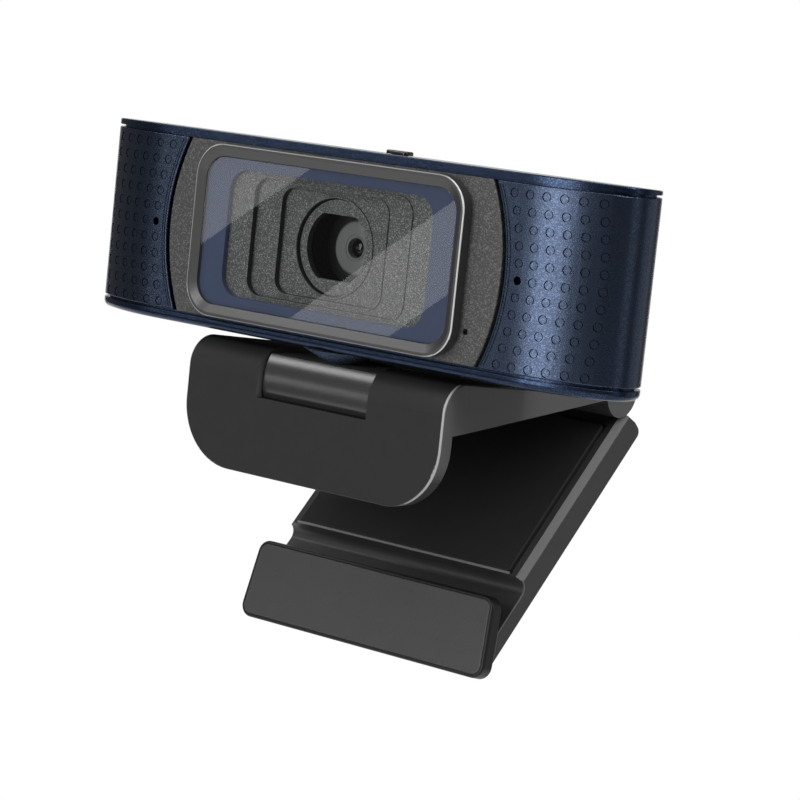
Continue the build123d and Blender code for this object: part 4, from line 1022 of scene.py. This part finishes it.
@dataclass
class Head:
    """Shells, fascia, window and inner pieces of the head.

    The gland's collar gives, for each of its rings, how far it is drawn in and how far it lies from
    the collar's end, in groove depths. The screws' dome gives the share of the head's radius and
    the drop from its top.
    """

    workshop: Workshop
    barrel_radius: float = 4.25 * MM
    barrel_bore: float = 1.55 * MM
    barrel_teeth: int = 72
    tooth_depth: float = 0.12 * MM
    groove_radius: float = 1.95 * MM
    groove_width: float = 0.16 * MM
    groove_depth: float = 0.1 * MM
    rim_chamfer: float = 0.25 * MM
    rim_land: float = 0.98
    pupil_radius: float = 1.5 * MM
    lens_rise: float = 0.9 * MM
    lens_steps: int = 12
    glass_corner: float = 3.6 * MM
    glass_edge: float = 0.08 * MM
    glass_clear: float = 0.03 * MM
    gasket_radius: float = 2.0 * MM
    gasket_hole: float = 0.65 * MM
    gasket_edge: float = 0.12 * MM
    gland_radius: float = 3.15 * MM
    gland_flange: float = 0.9 * MM
    gland_bore: float = 1.7 * MM
    gland_groove: float = 0.22 * MM
    gland_collar: tuple[Point, ...] = (
        (0.0, 4.2), (1.0, 3.8), (1.0, 3.2), (0.0, 2.8), (0.0, 2.0), (0.4, 0.8), (1.6, 0.0))
    screw_radius: float = 0.8 * MM
    screw_head: float = 1.5 * MM
    screw_head_height: float = 1.1 * MM
    screw_dome: tuple[Point, ...] = ((0.93, 0.2 * MM), (0.75, 0.05 * MM), (0.6, 0.0))
    cross_half: float = 0.2 * MM
    cross_reach: float = 0.8 * MM
    cross_depth: float = 0.55 * MM
    cross_taper: float = 0.8
    cross_shares: tuple[float, ...] = (0.0, 0.25, 0.5, 0.75)
    round_steps: int = 48

    def dress(self) -> None:
        """Gives the head's nodes their finishes."""
        dress = self.workshop.dress_nodes
        dress(Finish.NAVY_SHELL, "front_shell", "rear_shell")
        dress(Finish.NAVY_CAP, "top_cap", "bottom_cap")
        dress(Finish.GREY_FASCIA, "fascia")
        dress(Finish.WINDOW_GLOSS, "window_frame")
        dress(Finish.BLUE_TRIM, "trim_ring")
        dress(Finish.PLATE_GREY, "lens_plate", "lens_ring")
        dress(Finish.HOOD_SHADE_BLACK, "lens_hood")
        dress(Finish.BLACK_PLASTIC, "focus_motor", "privacy_shutter")
        dress(Finish.KNOB_BLACK, "privacy_knob")
        dress(Finish.LENS_METAL, "microphones")
        dress(Finish.CHIP_BLACK, "image_sensor", "video_chip")
        dress(Finish.BOARD_GREEN, "camera_board")
        dress(Finish.STEEL, "board_screws")
        dress(Finish.CLEAR_PLASTIC, "cable_header", "status_led", "light_pipe")

    def build_barrel(self) -> None:
        """Builds the lens barrel with its toothed rim and ring groove."""
        axis = middle_of("lens_barrel")
        front, back = (-place for place in depth_of("lens_barrel"))
        rim, half = self.barrel_radius - self.rim_chamfer, self.groove_width / 2
        floor = front - self.groove_depth
        profile = (
            (self.barrel_bore, back), (self.barrel_radius, back),
            (self.barrel_radius, front - self.rim_chamfer, self.tooth_depth),
            (self.barrel_radius, front - self.rim_chamfer / 2, self.tooth_depth),
            (rim, front, self.tooth_depth / 2), (rim * self.rim_land, front),
            (self.groove_radius + 2 * half, front), (self.groove_radius + half, floor),
            (self.groove_radius - half, floor), (self.groove_radius - 2 * half, front),
            (self.barrel_bore + half / 2, front), (self.barrel_bore, front - half),
        )
        count = TOOTH_POINTS * self.barrel_teeth
        skin = turned(facing_front(axis.x, axis.z), profile, count, True)
        self.workshop.build("lens_barrel", Body.LENS, [skin], Finish.LENS_METAL)

    def build_lens(self) -> None:
        """Builds the domed front element."""
        axis = middle_of("lens_front")
        front, back = (-place for place in depth_of("lens_front"))
        profile = [(self.pupil_radius, back)]
        for step in range(self.lens_steps):
            turn = step / self.lens_steps * math.pi / 2
            along = front - self.lens_rise * (1 - math.sin(turn))
            profile.append((self.pupil_radius * math.cos(turn), along))
        skin = turned(facing_front(axis.x, axis.z), profile, self.round_steps)
        self.workshop.build("lens_front", Body.LENS, [skin], Finish.LENS_GLASS)

    def build_glass(self) -> None:
        """Builds the cover glass with ground edges, its back just clear of the trim ring."""
        low, high = (Vector(corner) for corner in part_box("cover_glass"))
        middle, half = (low + high) / 2, (high - low) / 2
        slab = Slab(
            facing_front(middle.x, middle.z), rectangle(-half.x, half.x, -half.z, half.z),
            self.glass_corner, self.glass_clear - high.y, -low.y, self.glass_edge, edge_steps=1)
        self.workshop.build(
            "cover_glass", Body.HEAD, [slab.shell()], Finish.CLEAR_GLASS, Finish.CLEAR_GLASS)

    def build_gaskets(self) -> None:
        """Builds the soft rings round the microphones' holes."""
        low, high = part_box("mic_gaskets")
        edge, front, back = self.gasket_edge, -low[1], -high[1]
        profile = (
            (self.gasket_hole, back + edge), (self.gasket_hole + edge, back),
            (self.gasket_radius - edge, back), (self.gasket_radius, back + edge),
            (self.gasket_radius, front - edge), (self.gasket_radius - edge, front),
            (self.gasket_hole + edge, front), (self.gasket_hole, front - edge),
        )
        height = middle_of("mic_gaskets").z
        skins = []
        for x in (low[0] + self.gasket_radius, high[0] - self.gasket_radius):
            skins.append(turned(facing_front(x, height), profile, self.round_steps, True))
        self.workshop.build("mic_gaskets", Body.HEAD, skins, Finish.SOFT_RUBBER)

    def build_gland(self) -> None:
        """Builds the cable gland with its inner flange and the grooves of its outer collar."""
        axis = middle_of("cable_gland")
        low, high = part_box("cable_gland")
        inner, outer = low[1], high[1]
        flange, step = (high[0] - low[0]) / 2, self.gland_groove
        profile = [
            (self.gland_bore, inner), (flange, inner), (flange, inner + self.gland_flange),
            (self.gland_radius, inner + self.gland_flange),
        ]
        for inward, along in self.gland_collar:
            profile.append((self.gland_radius - inward * step, outer - along * step))
        profile += [(self.gland_bore + step, outer), (self.gland_bore, outer - step)]
        skin = turned(facing_back(axis.x, axis.z), profile, self.round_steps, True)
        self.workshop.build("cable_gland", Body.HEAD, [skin], Finish.SOFT_RUBBER)

    def cross(self) -> list[Point]:
        """Outline of a screw's cross recess, with points between its corners.

        Returns:
            The outline's points.
        """
        near, far = self.cross_half, self.cross_reach
        corners = []
        for turn in range(4):
            for x, z in ((far, near), (near, near), (near, far)):
                for _ in range(turn):
                    x, z = -z, x
                corners.append((x, z))
        points = []
        for (x, z), (next_x, next_z) in zip(corners, corners[1:] + corners[:1]):
            for share in self.cross_shares:
                points.append((x + (next_x - x) * share, z + (next_z - z) * share))
        return points

    def screw(self, seat: Seat, profile: Iterable[Point], top: float) -> Shell:
        """Skin of one housing screw.

        Args:
            seat: Its axis is the seat's out direction.
            profile: Radius and distance along the axis of each ring.
            top: Distance of its top along the axis.

        Returns:
            The skin.
        """
        cross = self.cross()
        rings = []
        for radius, along in profile:
            ring = []
            for across, up in cross:
                reach = radius / math.hypot(across, up)
                ring.append(seat.at(across * reach, up * reach, along))
            rings.append(ring)
        for taper, along in ((1.0, top), (self.cross_taper, top - self.cross_depth)):
            rings.append([seat.at(across * taper, up * taper, along) for across, up in cross])
        return Shell(rings)

    def build_screws(self) -> None:
        """Builds the four housing screws with domed heads and cross recesses."""
        low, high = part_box("housing_screws")
        head, top = self.screw_head, high[1]
        under = top - self.screw_head_height
        profile = [
            (self.screw_radius, low[1]), (self.screw_radius, under), (head, under),
            (head, top - self.screw_head_height / 2),
        ]
        profile += [(head * share, top - drop) for share, drop in self.screw_dome]
        skins = []
        for x in (low[0] + head, high[0] - head):
            for z in (low[2] + head, high[2] - head):
                skins.append(self.screw(facing_back(x, z), profile, top))
        self.workshop.build("housing_screws", Body.HEAD, skins, Finish.STEEL)

    def build(self) -> None:
        """Builds the head's finer pieces and dresses all of it."""
        self.build_barrel()
        self.build_lens()
        self.build_glass()
        self.build_gaskets()
        self.build_gland()
        self.build_screws()
        self.dress()


@dataclass
class Mount:
    """Swivel, clip, flap and foot."""

    workshop: Workshop
    flap_pad_start: float = 4.4 * MM
    flap_pad_end: float = 35.2 * MM
    flap_pad_half: float = 21.8 * MM
    flap_pad_low: float = -4.12 * MM
    flap_pad_high: float = -3.07 * MM
    flap_pad_corner: float = 0.6 * MM
    flap_pad_edge: float = 0.2 * MM
    foot_lean: float = 12.0
    foot_up: float = 5.6 * MM
    foot_down: float = 6.05 * MM
    foot_top_half: float = 23.8 * MM
    foot_bottom_half: float = 24.83 * MM
    foot_corner: float = 1.5 * MM
    foot_low: float = 3.47 * MM
    foot_high: float = 4.29 * MM
    foot_edge: float = 0.14 * MM
    grip_corner: float = 1.95 * MM
    grip_edge: float = 0.25 * MM
    grip_ribs: int = 3
    rib_height: float = 0.3 * MM
    rib_width: float = 1.2 * MM
    rib_round: float = 0.95

    def dress(self) -> None:
        """Gives the mount's nodes their finishes."""
        dress = self.workshop.dress_nodes
        dress(Finish.NECK_BLUE_LIT, "swivel_neck")
        dress(Finish.DRUM_GREY, "tilt_drum")
        dress(Finish.STEEL, "tilt_pins", "pan_washer", "pan_screw", "hinge_pin", "foot_pin")
        dress(Finish.CLIP_GREY, "upper_clip")
        dress(Finish.FLAP_GREY, "flap")
        dress(Finish.BLACK_PLASTIC, "foot_plate")

    def build_flap_pad(self) -> None:
        """Builds the long pad on the flap."""
        along, out = flap_ways()
        seat = Seat(joint_place("flap_hinge"), RIGHT, -along, out)
        half = self.flap_pad_half
        slab = Slab(
            seat, rectangle(-half, half, -self.flap_pad_end, -self.flap_pad_start),
            self.flap_pad_corner, self.flap_pad_low, self.flap_pad_high, self.flap_pad_edge)
        # The pad's rounded edge takes a painted highlight.
        pad = self.workshop.build(
            "flap_pad", Body.FLAP, [slab.shell()], Finish.PAD_BLACK, Finish.PAD_EDGE_HIGHLIGHT)

    def build_foot_pad(self) -> None:
        """Builds the satin pad on the foot."""
        lean = math.radians(self.foot_lean)
        out = Vector((0.0, -math.cos(lean), math.sin(lean)))
        up = Vector((0.0, math.sin(lean), math.cos(lean)))
        seat = Seat(joint_place("foot_hinge"), RIGHT, up, out)
        corners = (
            (-self.foot_bottom_half, -self.foot_down), (self.foot_bottom_half, -self.foot_down),
            (self.foot_top_half, self.foot_up), (-self.foot_top_half, self.foot_up),
        )
        slab = Slab(
            seat, corners, self.foot_corner, self.foot_low, self.foot_high, self.foot_edge)
        pad = self.workshop.build(
            "foot_pad", Body.FOOT, [slab.shell()], Finish.FOOT_SATIN, Finish.CHIP_BLACK)

    def build_grip_pad(self) -> None:
        """Builds the ribbed pad behind the clip's front panel."""
        low, high = (Vector(corner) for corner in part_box("grip_pad"))
        middle = (low + high) / 2
        half, tall = (high.x - low.x) / 2, (high.z - low.z) / 2
        seat = facing_back(middle.x, middle.z)
        base = high.y - self.rib_height
        plate = Slab(
            seat, rectangle(-half, half, -tall, tall), self.grip_corner, low.y, base,
            self.grip_edge)
        skins = [plate.shell()]
        reach, thick = half - self.grip_corner, self.rib_width / 2
        for number in range(self.grip_ribs):
            level = tall * (2 * (number + 1) / (self.grip_ribs + 1) - 1)
            rib = Slab(
                seat, rectangle(-reach, reach, level - thick, level + thick),
                thick * self.rib_round, base - self.rib_height / 2, high.y, self.rib_height)
            skins.append(rib.shell())
        pad = self.workshop.build(
            "grip_pad", Body.CLIP, skins, Finish.PAD_BLACK, Finish.PAD_BLACK)

    def build(self) -> None:
        """Builds the mount's pads and dresses all of it."""
        self.build_flap_pad()
        self.build_foot_pad()
        self.build_grip_pad()
        self.dress()


def aimed(
    target: Vector, azimuth: float, elevation: float, distance: float, roll: float,
) -> Matrix:
    """Place of a camera or lamp that is turned to a point.

    Args:
        target: The point.
        azimuth: Degrees from the front to the object's right.
        elevation: Degrees above the level.
        distance: Distance from the point.
        roll: Degrees that it is turned about its own axis.

    Returns:
        The place, as a matrix.
    """
    across, up = math.radians(azimuth), math.radians(elevation)
    away = Vector((
        math.sin(across) * math.cos(up), -math.cos(across) * math.cos(up), math.sin(up)))
    turn = away.to_track_quat("Z", "Y").to_matrix().to_4x4()
    spin = Matrix.Rotation(math.radians(roll), 4, "Z")
    return Matrix.Translation(target + away * distance) @ turn @ spin


@dataclass(frozen=True)
class Softbox:
    """Lamp with a flat front, turned to the object."""

    name: str
    azimuth: float
    elevation: float
    distance: float
    width: float
    height: float
    level: float
    roll: float = 0.0

    def build(self) -> None:
        """Places the lamp, unseen by the camera itself."""
        lamp = bpy.data.lights.new(self.name, "AREA")
        lamp.shape = "RECTANGLE"
        lamp.size = self.width
        lamp.size_y = self.height
        lamp.energy = self.level * math.pi * self.width * self.height
        piece = add_object(self.name, lamp)
        piece.matrix_world = aimed(
            Vector(), self.azimuth, self.elevation, self.distance, self.roll)
        piece.visible_camera = False


@dataclass
class Studio:
    """Camera, lamps, floor and backdrop."""

    target: Vector = Vector((-0.00142, 0.01259, -0.00023))
    azimuth: float = 38.965
    elevation: float = 6.910
    roll: float = 6.012
    distance: float = 0.46371
    lens: float = 131.3
    sensor_width: float = 36.0
    nearest: float = 0.01
    floor_drop: float = 0.3
    floor_reach: float = 1.4
    floor_half: float = 0.7
    bend_steps: int = 12
    wall_height: float = 1.6
    paper_dark: Colour = (0.78, 0.78, 0.78)
    paper_light: Colour = (0.82, 0.82, 0.82)
    paper_roughness: float = 0.9
    paper_grain: float = 0.02
    paper_detail: float = 4.0
    world_level: float = 0.12
    softboxes: tuple[Softbox, ...] = (
        Softbox("key", -12.0, 10.0, 1.1, 0.42, 0.9, 5.0),
        Softbox("side", 78.0, 42.0, 1.1, 0.3, 0.8, 6.0),
        Softbox("top", 10.0, 76.0, 1.0, 0.9, 0.4, 4.0),
        Softbox("rim", 140.0, 0.0, 1.2, 0.9, 0.9, 0.4),
        Softbox("flank", 88.0, 2.0, 1.1, 0.4, 0.5, 0.45),
        Softbox("fill", -55.0, 38.0, 1.2, 0.4, 0.4, 4.5),
        Softbox("glass_stripe", -38.3, -3.7, 1.2, 0.3, 0.0406, 2.1, -138.4),
        Softbox("glass_wedge", -43.2, -0.37, 1.22, 0.3, 0.0788, 2.1, 40.1),
    )

    def place_camera(self) -> None:
        """Sets the camera where the photograph was taken from."""
        data = bpy.data.cameras.new("camera")
        data.lens = self.lens
        data.sensor_width = self.sensor_width
        data.sensor_fit = "HORIZONTAL"
        data.clip_start = self.nearest
        camera = add_object("camera", data)
        camera.matrix_world = aimed(
            self.target, self.azimuth, self.elevation, self.distance, self.roll)
        bpy.context.scene.camera = camera

    def light(self) -> None:
        """Sets the lamps and an even pale surrounding."""
        for softbox in self.softboxes:
            softbox.build()
        world = bpy.data.worlds.new("surrounding")
        world.use_nodes = True
        sky = world.node_tree.nodes["Background"].inputs
        sky["Color"].default_value = (1.0, 1.0, 1.0, 1.0)
        sky["Strength"].default_value = self.world_level
        bpy.context.scene.world = world

    def paper(self) -> bpy.types.Material:
        """White paper that shows as white to the camera, in mirrors and through glass.

        Returns:
            Its material.
        """
        shader = Shader("white_paper")
        grain = shader.grain(self.paper_grain, self.paper_detail)
        shader.fill(shader.surface, {
            "Base Color": shader.blend(grain, self.paper_dark, self.paper_light),
            "Roughness": self.paper_roughness,
        })
        glow = shader.add("ShaderNodeEmission")
        path = shader.add("ShaderNodeLightPath")
        seen = path.outputs["Is Camera Ray"]
        for kind in ("Is Glossy Ray", "Is Transmission Ray"):
            seen = shader.most(seen, path.outputs[kind])
        shader.mix_surfaces(seen, shader.surface.outputs[0], glow.outputs[0])
        return shader.material

    def lay_floor(self) -> None:
        """Builds a floor that curves up into a backdrop behind the object."""
        level = CAD_BOX[0][2] - self.floor_drop
        bend = self.floor_reach / 2
        profile = [(-self.floor_reach, level), (self.floor_reach - bend, level)]
        for step in range(1, self.bend_steps + 1):
            turn = step / self.bend_steps * math.pi / 2
            y = self.floor_reach - bend + bend * math.sin(turn)
            profile.append((y, level + bend * (1 - math.cos(turn))))
        profile.append((self.floor_reach, level + self.wall_height))
        mesh = bpy.data.meshes.new("sweep")
        sweep = bmesh.new()
        rows = []
        for y, z in profile:
            rows.append([sweep.verts.new((x, y, z)) for x in (-self.floor_half, self.floor_half)])
        for near, far in zip(rows, rows[1:]):
            sweep.faces.new((near[0], near[1], far[1], far[0]))
        sweep.to_mesh(mesh)
        sweep.free()
        mesh.materials.append(self.paper())
        mesh.shade_smooth()
        piece = add_object("sweep", mesh)
        piece.rotation_euler = (0.0, 0.0, math.radians(self.azimuth))

    def build(self) -> None:
        """Sets up the whole studio."""
        bpy.context.scene.view_settings.view_transform = "Standard"
        self.place_camera()
        self.light()
        self.lay_floor()


def main() -> None:
    """Builds the studio, then the webcam's sub-assemblies in order."""
    logging.basicConfig(level=logging.INFO, format="%(name)s: %(message)s")
    workshop = Workshop()
    Studio().build()
    Head(workshop).build()
    Mount(workshop).build()


if __name__ == "__main__":
    main()
